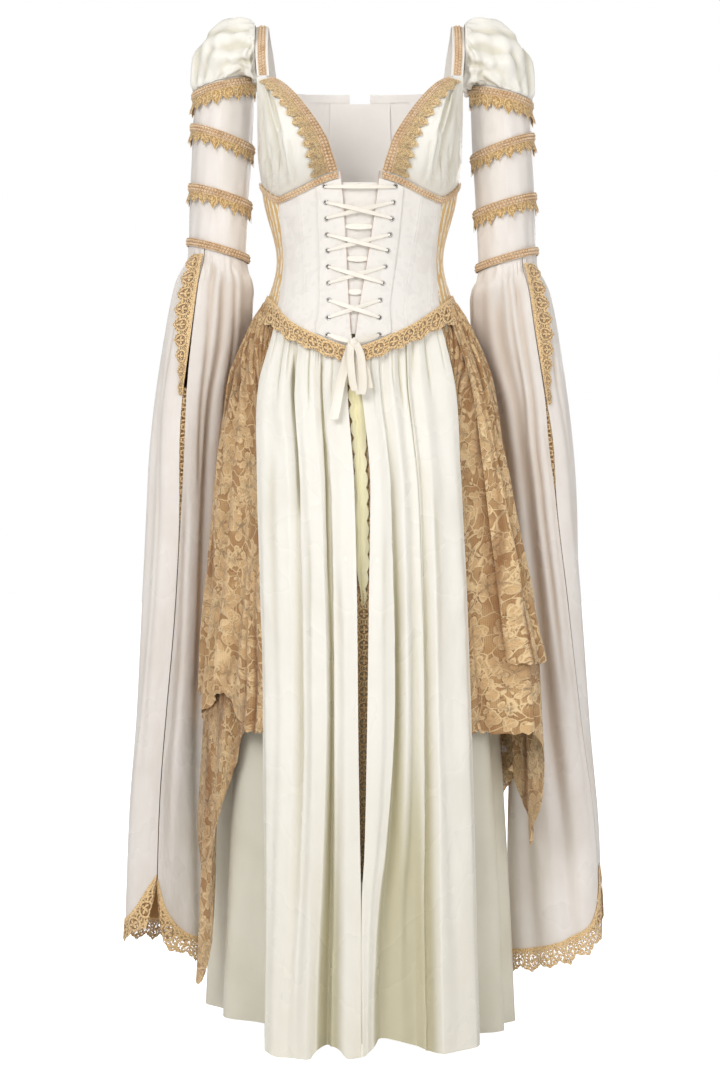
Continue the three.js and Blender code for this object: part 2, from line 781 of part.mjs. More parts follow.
// Scalloped lace along the outer edge of the opening, turning in below the knee of the sleeve
function bellFrontLace(values) {
  const SCALLOPS = 6;
  const LENGTH = 196;
  const WIDTH = [30, 7];
  const PERIMETER = 320;
  return wall(
    (u, v) => {
      const z = ELBOW.z - values.drop - 14 - LENGTH * v + ELBOW.tilt * 0.2;
      const phase = (v * SCALLOPS) % 1;
      const tooth = phase < 0.01 || phase > 0.99 ? 0.62 : 1;
      const width = mix(...WIDTH, ramp(v, 0.35, 1)) * tooth;
      return bellPoint((width * u) / PERIMETER - 0.002, z, values, LACE + 1.75);
    },
    3,
    3 * SCALLOPS,
    LACE,
    { open: (i, j) => i === 1 && j % 3 === 1 && j < 3 * (SCALLOPS - 3) },
  );
}

// Skirt

// The underskirt: a full satin tube of two halves that hangs in soft folds and is plain behind the front panels
const UNDER_FOLDS = 12;
function underskirtPoint(turn, share) {
  const angle = turn > 180 ? turn - 360 : turn;
  const spot = Math.abs(angle);
  const top = waistZ(spot) + 5;
  const z = mix(top, HEM - HEM_TILT * Math.sin(rad(angle)), share ** 1.15);
  const seat = outerPoint(angle, z, -COUTIL - 1.1);
  const section = read(UNDER, "z", z);
  const loose = ramp(z, waistZ(spot) + 1, waistZ(spot) - 70);
  const depth = mix(2.5, 1, ramp(spot, 55, 20)) + 9 * ramp(z, -460, -1300) * ramp(spot, 30, 60);
  const fold = depth * Math.cos(rad(UNDER_FOLDS * angle) + 0.9 * Math.sin(rad(3 * angle) + 0.6));
  const hanging = new THREE.Vector3(
    (section.side + fold) * Math.sin(rad(angle)),
    -((Math.cos(rad(angle)) > 0 ? section.front : section.back) + fold) * Math.cos(rad(angle)),
    z,
  );
  return seat.lerp(hanging, loose);
}

// The front half or the back half, cut just clear of the side seams
const SIDE_SEAM_HALF = 0.06;
function underskirtHalf(middle) {
  const reach = 90 - SIDE_SEAM_HALF;
  return wall((u, v) => underskirtPoint(middle + mix(-reach, reach, u), v), 2 * UNDER_FOLDS, 5, SATIN);
}

// Fold lines of the two front panels: share of the panel's width at the waist, half-way and at the hem, and
// how far back the line lies from the crest at each
const PANEL_FOLDS = {
  left: [
    { waist: 0, middle: 0, hem: 0, waistDepth: 0, middleDepth: 2, hemDepth: 8 },
    { waist: 0.1, middle: 0.13, hem: 0.04, waistDepth: 0, middleDepth: 0, hemDepth: 4 },
    { waist: 0.19, middle: 0.26, hem: 0.09, waistDepth: 2, middleDepth: 6, hemDepth: 10 },
    { waist: 0.24, middle: 0.29, hem: 0.18, waistDepth: 7, middleDepth: 22, hemDepth: 34 },
    { waist: 0.34, middle: 0.38, hem: 0.36, waistDepth: 0, middleDepth: 6, hemDepth: 30 },
    { waist: 0.45, middle: 0.47, hem: 0.5, waistDepth: 6, middleDepth: 12, hemDepth: 34 },
    { waist: 0.52, middle: 0.54, hem: 0.57, waistDepth: 1, middleDepth: 8, hemDepth: 22 },
    { waist: 0.59, middle: 0.59, hem: 0.6, waistDepth: 6, middleDepth: 17, hemDepth: 26 },
    { waist: 0.68, middle: 0.66, hem: 0.66, waistDepth: 0, middleDepth: 1, hemDepth: 2 },
    { waist: 0.8, middle: 0.8, hem: 0.8, waistDepth: 3, middleDepth: 5, hemDepth: 5 },
    { waist: 0.92, middle: 0.93, hem: 0.93, waistDepth: 0, middleDepth: 2, hemDepth: 3 },
    { waist: 1, middle: 1, hem: 1, waistDepth: 0, middleDepth: 7, hemDepth: 10 },
  ],
  right: [
    { waist: 0, middle: 0, hem: 0, waistDepth: 0, middleDepth: 2, hemDepth: 9 },
    { waist: 0.12, middle: 0.12, hem: 0.16, waistDepth: 0, middleDepth: 0, hemDepth: 4 },
    { waist: 0.22, middle: 0.24, hem: 0.32, waistDepth: 2, middleDepth: 6, hemDepth: 22 },
    { waist: 0.28, middle: 0.275, hem: 0.39, waistDepth: 7, middleDepth: 20, hemDepth: 36 },
    { waist: 0.36, middle: 0.32, hem: 0.46, waistDepth: 0, middleDepth: 5, hemDepth: 12 },
    { waist: 0.46, middle: 0.45, hem: 0.55, waistDepth: 2, middleDepth: 1, hemDepth: 1 },
    { waist: 0.55, middle: 0.55, hem: 0.66, waistDepth: 4, middleDepth: 7, hemDepth: 4 },
    { waist: 0.6, middle: 0.6, hem: 0.73, waistDepth: 9, middleDepth: 14, hemDepth: 6 },
    { waist: 0.68, middle: 0.67, hem: 0.8, waistDepth: 1, middleDepth: 4, hemDepth: 3 },
    { waist: 0.8, middle: 0.8, hem: 0.87, waistDepth: 3, middleDepth: 1, hemDepth: 1 },
    { waist: 0.92, middle: 0.93, hem: 0.95, waistDepth: 0, middleDepth: 2, hemDepth: 4 },
    { waist: 1, middle: 1, hem: 1, waistDepth: 0, middleDepth: 7, hemDepth: 12 },
  ],
};
// Half-widths of the front panels: inner edge and outer edge from the centre line
const PANEL_EDGES = {
  left: [
    { z: -405, inner: 6, outer: 106 },
    { z: -500, inner: 10, outer: 131 },
    { z: -620, inner: 14, outer: 139 },
    { z: -800, inner: 12, outer: 150 },
    { z: -1000, inner: 9, outer: 157 },
    { z: -1200, inner: 4, outer: 163 },
    { z: -1400, inner: 4, outer: 168 },
  ],
  right: [
    { z: -405, inner: 6, outer: 106 },
    { z: -500, inner: 9, outer: 139 },
    { z: -620, inner: 8, outer: 143 },
    { z: -800, inner: 4, outer: 139 },
    { z: -1000, inner: 2, outer: 135 },
    { z: -1200, inner: -1.4, outer: 133 },
    { z: -1400, inner: -2.4, outer: 134 },
  ],
};
const PANEL_TOP_ANGLES = [2.6, 49.5];
const FRONT_HEM = -1396;

// A share of the panel's width and a fold depth at a height, between two fold lines
function foldAt(folds, u, fall) {
  const place = u * (folds.length - 1);
  const i = Math.min(folds.length - 2, Math.floor(place));
  const t = place - i;
  const upper = fall < 0.5;
  const k = smooth(upper ? fall * 2 : fall * 2 - 1);
  const at = (line) => ({
    share: upper ? mix(line.waist, line.middle, k) : mix(line.middle, line.hem, k),
    depth: upper ? mix(line.waistDepth, line.middleDepth, k) : mix(line.middleDepth, line.hemDepth, k),
  });
  const [a, b] = [at(folds[i]), at(folds[i + 1])];
  return { share: mix(a.share, b.share, t), depth: mix(a.depth, b.depth, smooth(t)) };
}

function frontPanelSkirtPoint(u, v, side) {
  const fall = v ** 1.1;
  const { share, depth } = foldAt(PANEL_FOLDS[side], u, fall);
  const topAngle = mix(...PANEL_TOP_ANGLES, share);
  const topZ = waistZ(topAngle) - SEAM;
  const z = mix(topZ, FRONT_HEM, fall);
  const edges = read(PANEL_EDGES[side], "z", z);
  const hangAngle = angleOf(mix(edges.inner, edges.outer, share), z);
  const angle = mix(topAngle, hangAngle, ramp(fall, 0, 0.1));
  return outerPoint(angle, z, -depth * ramp(fall, 0.005, 0.03));
}

const frontPanel = ({ mirror }) =>
  wall(
    (u, v) => frontPanelSkirtPoint(u, v, mirror ? "right" : "left"),
    2 * (PANEL_FOLDS.left.length - 1),
    6,
    SATIN,
  );

// The lace overskirt's uneven hem: the angle round the body and the height
const LACE_HEM = {
  left: [
    { angle: 36, z: -968 },
    { angle: 56, z: -975 },
    { angle: 62, z: -885 },
    { angle: 76, z: -882 },
    { angle: 82, z: -960 },
    { angle: 94, z: -1000 },
    { angle: 106, z: -1050 },
    { angle: 116, z: -1140 },
    { angle: 128, z: -1040 },
    { angle: 146, z: -1000 },
    { angle: 164, z: -1120 },
    { angle: 180, z: -1060 },
  ],
  right: [
    { angle: 36, z: -958 },
    { angle: 50, z: -965 },
    { angle: 57, z: -1040 },
    { angle: 63, z: -1170 },
    { angle: 69, z: -1318 },
    { angle: 76, z: -1270 },
    { angle: 84, z: -1040 },
    { angle: 96, z: -956 },
    { angle: 112, z: -1060 },
    { angle: 128, z: -1130 },
    { angle: 146, z: -1010 },
    { angle: 164, z: -1120 },
    { angle: 180, z: -1060 },
  ],
};
const LACE_FOLDS = 12;
const LACE_FLARE = { left: 50, right: 0 };

function overskirtPoint(u, v, side) {
  const fallShare = v ** 1.2;
  const frontEdge = mix(50.2, 38, ramp(fallShare, 0.02, 0.3));
  const angle = mix(frontEdge, 179.7, u);
  const top = waistZ(mix(50.2, 179.7, u)) - 3 * SEAM;
  const z = mix(top, read(LACE_HEM[side], "angle", angle).z, fallShare);
  const loose = ramp(z, top - 8, top - 160);
  const tuck = -(1.9 + 4 * ramp(z, top - 4, top - 20) + 9 * ramp(z, -430, -620)) * ramp(angle, 60, 55);
  const flare = LACE_FLARE[side] * bump(angle, 66, 14) * clamp((z + 440) / (-880 + 440)) ** 1.3 * ramp(angle, 55, 63);
  const fold =
    mix(1.2, 6.5, loose) * Math.cos(rad((360 / 130) * LACE_FOLDS * (angle - 50))) * ramp(z, top - 2, top - 24);
  const foldReach = ramp(u, 1, 0.96) * ramp(angle, 56, 64);
  return outerPoint(angle, z, tuck + flare + fold * foldReach);
}

const laceOverskirt = ({ mirror }) =>
  wall((u, v) => overskirtPoint(u, v, mirror ? "right" : "left"), 2 * LACE_FOLDS, 5, LACE);

// Crochet lace over the waist seam, scalloped along its lower edge, meeting in a point at the front
function waistLace() {
  const SCALLOPS = 12;
  return wall(
    (u, v) => {
      const angle = mix(0.4, 179.6, u ** 1.15);
      const tooth = 1 - Math.abs(((u * SCALLOPS) % 1) * 2 - 1);
      const width = 20 + 8 * ramp(angle, 30, 80) + 5 * tooth;
      const z = waistZ(angle) + 5 - width * v;
      return outerPoint(angle, z, 3 + 2.4 * v);
    },
    2 * SCALLOPS,
    2,
    LACE,
  );
}

// Two narrow strips that show in the gap between the front panels: a turned satin edge and its lace
function innerStrip(top, bottom, extra, columns, rows, thickness) {
  return wall(
    (u, v) => {
      const z = mix(top, bottom, v);
      const half = 11 * mix(1, 0.6, ramp(z, -900, -1150));
      const back = 1.55 + extra + 9 * ramp(z, -480, -580) + 12 * ramp(z, -560, -1000);
      return outerPoint(angleOf(mix(-half, half, u) + 5 * ramp(z, -474, -870), z), z, -back);
    },
    columns,
    rows,
    thickness,
  );
}

const innerSatin = () => innerStrip(-467, -806, 0, 4, 6, LACE);
const innerLace = () => innerStrip(-786, -1160, 1.35, 2, 8, LACE);

// Lacing

const LACE_WIDTH = 5;

// A flat strand between two places on the body, each an offset from the centre line and a height
function strand(from, to, out, { behind = false, segments = 3 } = {}) {
  const way = Math.sign(to.x - from.x) * (behind ? -1 : 1);
  return wall(
    (u, v) => {
      const x = mix(from.x, to.x, v);
      const width = LACE_WIDTH * mix(0.6, 1.2, Math.sin(Math.PI * v));
      const z = mix(from.z, to.z, v) + way * mix(-width / 2, width / 2, u);
      const angle = behind ? 180 - angleOf(x, z) : angleOf(x, z);
      return outerPoint(angle, z, out);
    },
    1,
    segments,
    1,
  );
}

// Two strands that cross between neighbouring eyelets
function cross(a, b, out, options) {
  return [
    strand({ x: a.x, z: a.z }, { x: -b.x, z: b.z }, out, options),
    strand({ x: -a.x, z: a.z }, { x: b.x, z: b.z }, out, options),
  ];
}

function frontEyelet(i) {
  const point = frontPanelPoint(EYELET_INSET / PANEL_WIDTH, eyeletShare(i), 0);
  return { x: point.x, z: point.z };
}

// Between crossings the lace passes behind the panels and shows as a bar in the opening
function lacingBar(i) {
  const [a, b] = [frontEyelet(i), frontEyelet(i + 1)];
  const z = (a.z + b.z) / 2;
  const half = frontGap(z) - 1;
  return strand({ x: -half, z }, { x: half, z: z - 0.5 }, 0.2, { segments: 2 });
}

function lacingTop() {
  const { x, z } = frontEyelet(0);
  return strand({ x: -x, z: z - 1 }, { x, z: z - 1.5 }, 4.6, { segments: 4 });
}

const BACK_PAIRS = 6;
function backEyelet(i) {
  const z = mix(-96, -384, i / (BACK_PAIRS - 1));
  return { x: backGap(z) + 12, z };
}

// A ribbon along a path, with its width across the dress
function ribbon(path, half, rows) {
  const curve = new THREE.CatmullRomCurve3(path.map(([x, y, z]) => new THREE.Vector3(x, y, z)));
  const across = new THREE.Vector3(1, 0, 0);
  return wall((u, v) => curve.getPoint(v).addScaledVector(across, mix(-half, half, u)), 1, rows, 0.9);
}

// The bow at the foot of the lacing: a knot, a hanging loop and two tails
const KNOT = { x: 0, y: -117, z: -452 };
function bow() {
  const { x, y, z } = KNOT;
  const knot = new THREE.SphereGeometry(6, 9, 6);
  knot.scale(1, 0.75, 1.15);
  knot.translate(x, y, z);
  const loop = ribbon(
    [
      [x, y - 1, z],
      [x + 2, y - 13, z - 34],
      [x + 6, y - 21, z - 70],
      [x + 7, y - 19, z - 76],
      [x + 8, y - 16, z - 70],
      [x + 9, y - 8, z - 34],
      [x + 1, y, z],
    ],
    3.4,
    12,
  );
  const longTail = ribbon(
    [
      [x - 1, y, z],
      [x - 13, y - 12, z - 36],
      [x - 22, y - 20, z - 72],
      [x - 30, y - 26, z - 104],
    ],
    5,
    6,
  );
  const shortTail = ribbon(
    [
      [x + 1, y, z],
      [x + 17, y - 14, z - 34],
      [x + 22, y - 18, z - 62],
    ],
    3,
    4,
  );
  return joined([knot, loop, longTail, shortTail]);
}

// Names and order of the pieces

addPair("corset_front", MATERIALS.corsetCloth, corsetFront);
addPair("eyelet_placket", MATERIALS.corsetCloth, eyeletPlacket);
addPair("corset_side", MATERIALS.striped, corsetSide);
addPair("corset_back", MATERIALS.corsetCloth, corsetBack);
add("front_modesty_panel", frontModesty(), MATERIALS.corsetCloth);
add("back_modesty_panel", backModesty(), MATERIALS.corsetCloth);
addPair("cup", MATERIALS.satin, cup);
addPair("neck_lace", MATERIALS.trim, neckLace);
addPair("underbust_braid", MATERIALS.trim, underbustBraid);
addPair("strap", MATERIALS.corsetCloth, strap);
addPair("strap_braid", MATERIALS.trim, strapBraid);
addPair("puff_sleeve", MATERIALS.satin, puff);
addPair("upper_sleeve", MATERIALS.sleeveSatin, upperSleeve);
for (const [place, values] of Object.entries(BANDS)) {
  addPair(`${place}_lace_band`, MATERIALS.trim, laceBand(values));
}
addPair("elbow_braid", MATERIALS.trim, elbowBraid);
addPair("bell_sleeve", MATERIALS.sleeveSatin, bellSleeve);
addPair("bell_hem_lace", MATERIALS.trim, bellHemLace);
addPair("bell_front_lace", MATERIALS.trim, bellFrontLace);
add("underskirt_front", underskirtHalf(0), MATERIALS.underskirtSatin);
add("underskirt_back", underskirtHalf(180), MATERIALS.underskirtSatin);
addPair("front_panel", MATERIALS.satin, frontPanel);
addPair("lace_overskirt", MATERIALS.lace, laceOverskirt);
addPair("waist_lace", MATERIALS.trim, waistLace);
add("inner_satin_strip", innerSatin(), MATERIALS.lining);
add("inner_lace_strip", innerLace(), MATERIALS.trim);
for (const i of [1, 3, 5, 7]) {
  const strands = cross(frontEyelet(i), frontEyelet(i + 1), 4.6);
  add(`lacing_cross_${(i + 1) / 2}`, joined(strands), MATERIALS.cord);
}
add("lacing_top_bar", lacingTop(), MATERIALS.cord);
for (const i of [2, 4, 6]) add(`lacing_bar_${i / 2}`, lacingBar(i), MATERIALS.cord);
const backStrands = [];
for (let i = 0; i < BACK_PAIRS - 1; i += 1) {
  backStrands.push(...cross(backEyelet(i), backEyelet(i + 1), 2, { behind: true, segments: 2 }));
}
add("back_lacing", joined(backStrands), MATERIALS.cord);
add("lacing_bow", bow(), MATERIALS.cord);

export default dress;
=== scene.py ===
# An ivory satin corset dress with gold lace, in the hollow shape that it keeps when it is worn.
# Forms are worked out in millimetres in the CAD frame and stored in metres.
import math
import bpy
import numpy as np
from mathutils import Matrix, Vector


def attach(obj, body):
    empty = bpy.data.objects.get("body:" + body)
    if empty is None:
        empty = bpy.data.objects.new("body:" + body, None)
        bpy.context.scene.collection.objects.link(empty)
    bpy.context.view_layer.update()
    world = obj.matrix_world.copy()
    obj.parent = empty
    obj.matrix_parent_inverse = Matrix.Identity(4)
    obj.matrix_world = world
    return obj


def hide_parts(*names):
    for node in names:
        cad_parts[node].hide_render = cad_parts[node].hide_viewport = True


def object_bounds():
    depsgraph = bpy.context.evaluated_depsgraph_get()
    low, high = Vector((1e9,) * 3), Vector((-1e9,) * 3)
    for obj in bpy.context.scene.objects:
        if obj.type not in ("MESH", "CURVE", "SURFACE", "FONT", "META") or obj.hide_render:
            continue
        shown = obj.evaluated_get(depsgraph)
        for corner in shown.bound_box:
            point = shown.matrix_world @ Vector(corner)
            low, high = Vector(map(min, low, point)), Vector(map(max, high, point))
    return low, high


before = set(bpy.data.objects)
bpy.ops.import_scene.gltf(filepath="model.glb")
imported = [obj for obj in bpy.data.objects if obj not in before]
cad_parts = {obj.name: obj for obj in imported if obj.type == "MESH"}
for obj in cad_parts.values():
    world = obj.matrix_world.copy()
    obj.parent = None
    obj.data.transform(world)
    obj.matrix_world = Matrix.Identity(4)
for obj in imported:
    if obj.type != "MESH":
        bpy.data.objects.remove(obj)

cadLow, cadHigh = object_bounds()
allSides = ("left", "right")  # the wearer's own sides: left is +X

# Camera, level with the middle of the dress
view = {"place": (0.0, -3.5, -0.719), "lens": 83.26, "sensor": 36.0}
cameraData = bpy.data.cameras.new("photo_camera")
cameraData.lens = view["lens"]
cameraData.sensor_width = view["sensor"]
camera = bpy.data.objects.new("photo_camera", cameraData)
bpy.context.scene.collection.objects.link(camera)
camera.location = view["place"]
camera.rotation_euler = (math.radians(90), 0, 0)
bpy.context.scene.camera = camera
print("camera ready")


# Small helpers for smooth shapes

def mix(a, b, t):
    return a + (b - a) * t


def smooth(t):
    t = np.clip(t, 0, 1)
    return t * t * (3 - 2 * t)


def ramp(x, start, end):
    return smooth((x - start) / (end - start))


def within(x, start, end):  # 0 at the start and 1 at the end, in a straight line
    return np.clip((x - start) / (end - start), 0, 1)


def bump(x, middle, width):
    return np.exp(-(((x - middle) / width) ** 2))


def sine(degrees):
    return np.sin(np.radians(degrees))


def cosine(degrees):
    return np.cos(np.radians(degrees))


def readTable(rows, place):  # a smooth curve through a table's rows, for each of its columns
    table = np.array(rows, float)
    keys, values = table[:, 0], table[:, 1:]
    place = np.asarray(place, float)
    if keys[1] < keys[0]:
        keys, place = -keys, -place
    slopes = np.empty_like(values)
    slopes[1:-1] = (values[2:] - values[:-2]) / (keys[2:] - keys[:-2])[:, None]
    slopes[0] = (values[1] - values[0]) / (keys[1] - keys[0])
    slopes[-1] = (values[-1] - values[-2]) / (keys[-1] - keys[-2])
    i = np.clip(np.searchsorted(keys, place, side="right") - 1, 0, len(keys) - 2)
    span = (keys[i + 1] - keys[i])[..., None]
    t = np.clip((place - keys[i])[..., None] / span, 0, 1)
    a, b = 2 * t**3 - 3 * t**2 + 1, t**3 - 2 * t**2 + t
    found = a * values[i] + b * span * slopes[i] + (1 - a) * values[i + 1] + (t**3 - t**2) * span * slopes[i + 1]
    return np.moveaxis(found, -1, 0)


def softNoise(x, y, seed):  # gentle bumps between -1 and 1, about one to each unit
    table = np.random.RandomState(seed).uniform(-1, 1, (64, 64))
    x, y = np.broadcast_arrays(np.asarray(x, float), np.asarray(y, float))
    i, j = np.floor(x).astype(int), np.floor(y).astype(int)
    s, t = smooth(x - i), smooth(y - j)
    at = lambda a, b: table[(i + a) % 64, (j + b) % 64]
    return mix(mix(at(0, 0), at(1, 0), s), mix(at(0, 1), at(1, 1), s), t)


def creased(u, v, rows):  # soft troughs: u at the top, u at the foot, start, end, width, depth
    total = np.zeros_like(u)
    for k, (top, foot, start, end, width, depth) in enumerate(rows):
        fall = within(v, start, end)
        line = mix(top, foot, fall) + 0.25 * width * np.sin(9 * fall + 2.1 * k)
        ends = ramp(v, start - 0.02, start + 0.12 * (end - start)) * ramp(v, end + 0.02, end - 0.25 * (end - start))
        total += depth * bump(u, line, width) * ends
    return total


def wave(turns):
    return np.sin(2 * np.pi * turns)


def vectors(x, y, z):
    return np.stack(np.broadcast_arrays(x, y, z), axis=-1).astype(float)


def unit(a):
    return a / np.maximum(np.linalg.norm(a, axis=-1, keepdims=True), 1e-12)


# The body that the dress is cut to: height, half-width, depth in front, depth behind
outerRows = [
    (-60, 128, 92, 84), (-95, 134, 96, 86), (-165, 140, 99, 86), (-240, 136, 98, 80), (-325, 117, 90, 74),
    (-385, 130, 98, 83), (-410, 144, 103, 89), (-440, 157, 108, 98), (-500, 175, 120, 124), (-600, 189, 142, 152),
    (-700, 198, 160, 170), (-800, 206, 174, 183), (-900, 212, 186, 194), (-1000, 217, 197, 204),
    (-1200, 226, 217, 220), (-1400, 236, 237, 232),
]
underRows = [
    (-385, 125, 92, 78), (-440, 139, 97, 90), (-500, 151, 104, 110), (-600, 163, 116, 130), (-800, 178, 132, 155),
    (-1000, 189, 144, 173), (-1200, 199, 154, 188), (-1400, 208, 162, 202),
]
# Seam heights round the body, by the angle from the centre front
underbustRows = [
    (0, -213), (10, -215), (20, -221), (26, -226), (37, -236), (49, -243), (57, -245), (70, -234), (88, -217),
]
waistRows = [
    (0, -463), (8, -456), (15, -448), (32, -428), (50, -405), (70, -389), (90, -381), (130, -386), (180, -398),
]
backTopRows = [(88, -150), (96, -146), (104, -118), (112, -92), (122, -85), (150, -82), (180, -80)]
sideSeamRows = [(-250, 57), (-325, 66), (-405, 55)]
backSeam = 96
seam = 0.3
sleeveSides = {
    "left": {"drop": 13, "spread": 7, "hemTilt": 22},
    "right": {"drop": 0, "spread": 0, "hemTilt": 8},
}


def bodyPoint(angle, z, out=0.0):
    side, front, back = readTable(outerRows, z)
    depth = np.where(cosine(angle) > 0, front, back)
    return vectors((side + out) * sine(angle), -(depth + out) * cosine(angle), z)


def waistZ(angle):
    return readTable(waistRows, angle)[0]


def underbustZ(angle):
    return readTable(underbustRows, angle)[0]


def angleOf(x, z):
    return np.degrees(np.arcsin(np.clip(x / readTable(outerRows, z)[0], -1, 1)))


def frontGap(z):
    return mix(27, 2, within(z, -214, -450))


def backGap(z):
    return mix(15, 8, within(z, -80, -398))


def leaned(points):  # the front of the waist sits a little towards the wearer's right
    x, y, z = points[..., 0], points[..., 1], points[..., 2]
    level = np.minimum(ramp(z, -230, -450), ramp(z, -660, -480))
    shifted = points.copy()
    shifted[..., 0] = x - 9 * level * ramp(y, -20, -105) * ramp(np.abs(x), 145, 90)
    return shifted


# Making a piece of cloth

def deselectAll():
    if bpy.context.object and bpy.context.object.mode != "OBJECT":
        bpy.ops.object.mode_set(mode="OBJECT")
    bpy.ops.object.select_all(action="DESELECT")


def normals(points):
    along = np.gradient(points, axis=0)
    down = np.gradient(points, axis=1)
    return unit(np.cross(down, along))


def ringNormals(points):
    along = np.gradient(points, axis=0)
    along[0] = along[-1] = (points[1] - points[-2]) / 2
    return unit(np.cross(np.gradient(points, axis=1), along))


def unitGrid(columns, rows):
    return np.meshgrid(np.linspace(0, 1, columns + 1), np.linspace(0, 1, rows + 1), indexing="ij")


def gridPiece(name, points, material):  # a sheet of squares on a table of places, in metres
    columns, rows = points.shape[0] - 1, points.shape[1] - 1
    deselectAll()
    bpy.ops.mesh.primitive_grid_add(x_subdivisions=columns, y_subdivisions=rows, size=1, location=(0, 0, 0))
    piece = bpy.context.object
    piece.name = piece.data.name = name
    flat = np.empty(len(piece.data.vertices) * 3, np.float32)
    piece.data.vertices.foreach_get("co", flat)
    flat = flat.reshape(-1, 3)
    i = np.rint((flat[:, 0] + 0.5) * columns).astype(int)
    j = np.rint((0.5 - flat[:, 1]) * rows).astype(int)
    piece.data.vertices.foreach_set("co", points[i, j].astype(np.float32).ravel())
    piece.data.update()
    piece.data.materials.append(material)
    return piece, i, j


def thicken(piece, thick, offset=0, liningSlot=0):
    wall = piece.modifiers.new("wall", "SOLIDIFY")
    wall.thickness, wall.offset, wall.material_offset = thick / 1000, offset, liningSlot
    bpy.ops.object.modifier_apply(modifier="wall")


def smoothShade(degrees):  # soft shading, with edges sharper than this left sharp
    bpy.ops.object.shade_smooth_by_angle(angle=math.radians(degrees))


def choose(piece):
    deselectAll()
    piece.select_set(True)
    bpy.context.view_layer.objects.active = piece


def outwardMesh(piece):  # turns a closed mesh's faces outwards
    choose(piece)
    bpy.ops.object.mode_set(mode="EDIT")
    bpy.ops.mesh.select_all(action="SELECT")
    bpy.ops.mesh.normals_make_consistent(inside=False)
    bpy.ops.object.mode_set(mode="OBJECT")
    return piece


def joined(pieces, name):
    choose(pieces[0])
    for piece in pieces:
        piece.select_set(True)
    if len(pieces) > 1:
        bpy.ops.object.join()
    pieces[0].name = pieces[0].data.name = name
    return pieces[0]


def makeCloth(name, node, form, grid, material, side=None, ring=False, thick=1.0, fine=None,
              pattern=None, lining=None, shade=None):  # with a side, both names end in it
    columns, rows = grid
    ending = f"_{side}" if side else ""
    u, v = unitGrid(columns, rows)
    points = form(u, v)
    if fine is not None:
        facing = ringNormals(points) if ring else normals(points)
        points = points + facing * fine(u, v)[..., None]
    if ring:
        points[-1] = points[0]
    step = lambda axis: np.linalg.norm(np.diff(points, axis=axis), axis=-1)
    along = np.concatenate([np.zeros((1, rows + 1)), np.cumsum(step(0), axis=0)], axis=0)
    down = np.concatenate([np.zeros((columns + 1, 1)), np.cumsum(step(1), axis=1)], axis=1)
    middle = along[columns // 2].copy()
    cloth = np.stack([(along - middle) / 1000, -down / 1000], axis=-1)
    if pattern is not None:
        cloth = np.stack(pattern(u, v, along, down), axis=-1)
    if side == "right":  # mirrored, with its grid turned round so that the faces still point outwards
        points = points[::-1] * np.array([-1, 1, 1])
        cloth = cloth[::-1]
    points = leaned(points) / 1000
    piece, i, j = gridPiece(name + ending, points, material)
    mesh = piece.data
    corner = np.empty(len(mesh.loops), np.int32)
    mesh.loops.foreach_get("vertex_index", corner)
    mesh.uv_layers[0].uv.foreach_set("vector", cloth[i[corner], j[corner]].astype(np.float32).ravel())
    # the shade function gives how much painted shade each point gets, stored on the mesh
    if shade is not None:
        deep = shade(u, v)
        deep = deep[::-1] if side == "right" else deep
        mesh.attributes.new("paintedShade", "FLOAT", "POINT").data.foreach_set("value", deep[i, j].astype(np.float32))
    mesh.update()
    if ring:
        bpy.ops.object.mode_set(mode="EDIT")
        bpy.ops.mesh.select_all(action="SELECT")
        bpy.ops.mesh.remove_doubles(threshold=1e-6)
        bpy.ops.object.mode_set(mode="OBJECT")
    if lining:
        mesh.materials.append(lining)
    thicken(piece, thick, -1, 1 if lining else 0)
    smoothShade(50)
    wide, long = float(along[-1].max()) / 1000, float(down.max()) / 1000
    squares = np.cross(np.diff(points, axis=0)[:, :-1], np.diff(points, axis=1)[:-1])
    area = float(np.linalg.norm(squares, axis=-1).sum())
    rideOn(piece, [node + ending])
    cut = (round(max(wide, 0.01), 3), round(max(long, 0.01), 3))
    area = min(max(area, 0.31 * cut[0] * cut[1]), cut[0] * cut[1])
    sheetSizes.append((piece.name, cut, round(area, 4)))


sheetSizes = []


def rideOn(piece, nodes):
    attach(piece, "root")
    if nodes:
        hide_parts(*nodes)


def meshPiece(name, points, faces, material):
    mesh = bpy.data.meshes.new(name)
    mesh.from_pydata((np.asarray(points) / 1000).tolist(), [], [list(map(int, f)) for f in faces])
    mesh.update()
    piece = bpy.data.objects.new(name, mesh)
    bpy.context.scene.collection.objects.link(piece)
    mesh.materials.append(material)
    choose(piece)
    smoothShade(60)
    return piece


# Finishes

def tone(red, green, blue):  # a colour named as a screen shows it
    linear = lambda c: c / 255 / 12.92 if c <= 10.31 else ((c / 255 + 0.055) / 1.055) ** 2.4
    return (linear(red), linear(green), linear(blue), 1.0)


growing = []  # node trees: a new node goes into the last of them


def plug(socket, value):
    if isinstance(value, bpy.types.NodeSocket):
        growing[-1].links.new(value, socket)
    else:
        socket.default_value = value


def addNode(kind, inputs, **settings):
    made = growing[-1].nodes.new(kind)
    for key, value in settings.items():
        setattr(made, key, value)
    for key, value in inputs.items():
        plug(made.inputs[key], value)
    return made


def calc(operation, *values):
    return addNode("ShaderNodeMath", dict(enumerate(values)), operation=operation).outputs[0]


def times(first, second):
    return calc("MULTIPLY", first, second)


def plus(first, second):
    return calc("ADD", first, second)


def minus(first, second):
    return calc("SUBTRACT", first, second)


def scaledSum(value, factor, added):
    return calc("MULTIPLY_ADD", value, factor, added)


def absolute(value):
    return calc("ABSOLUTE", value)


def inverse(value):
    return minus(1.0, value)


def greatest(first, *others):
    for other in others:
        first = calc("MAXIMUM", first, other)
    return first


def blendColours(factor, first, second):
    return addNode("ShaderNodeMix", {0: factor, 6: first, 7: second}, data_type="RGBA").outputs[2]


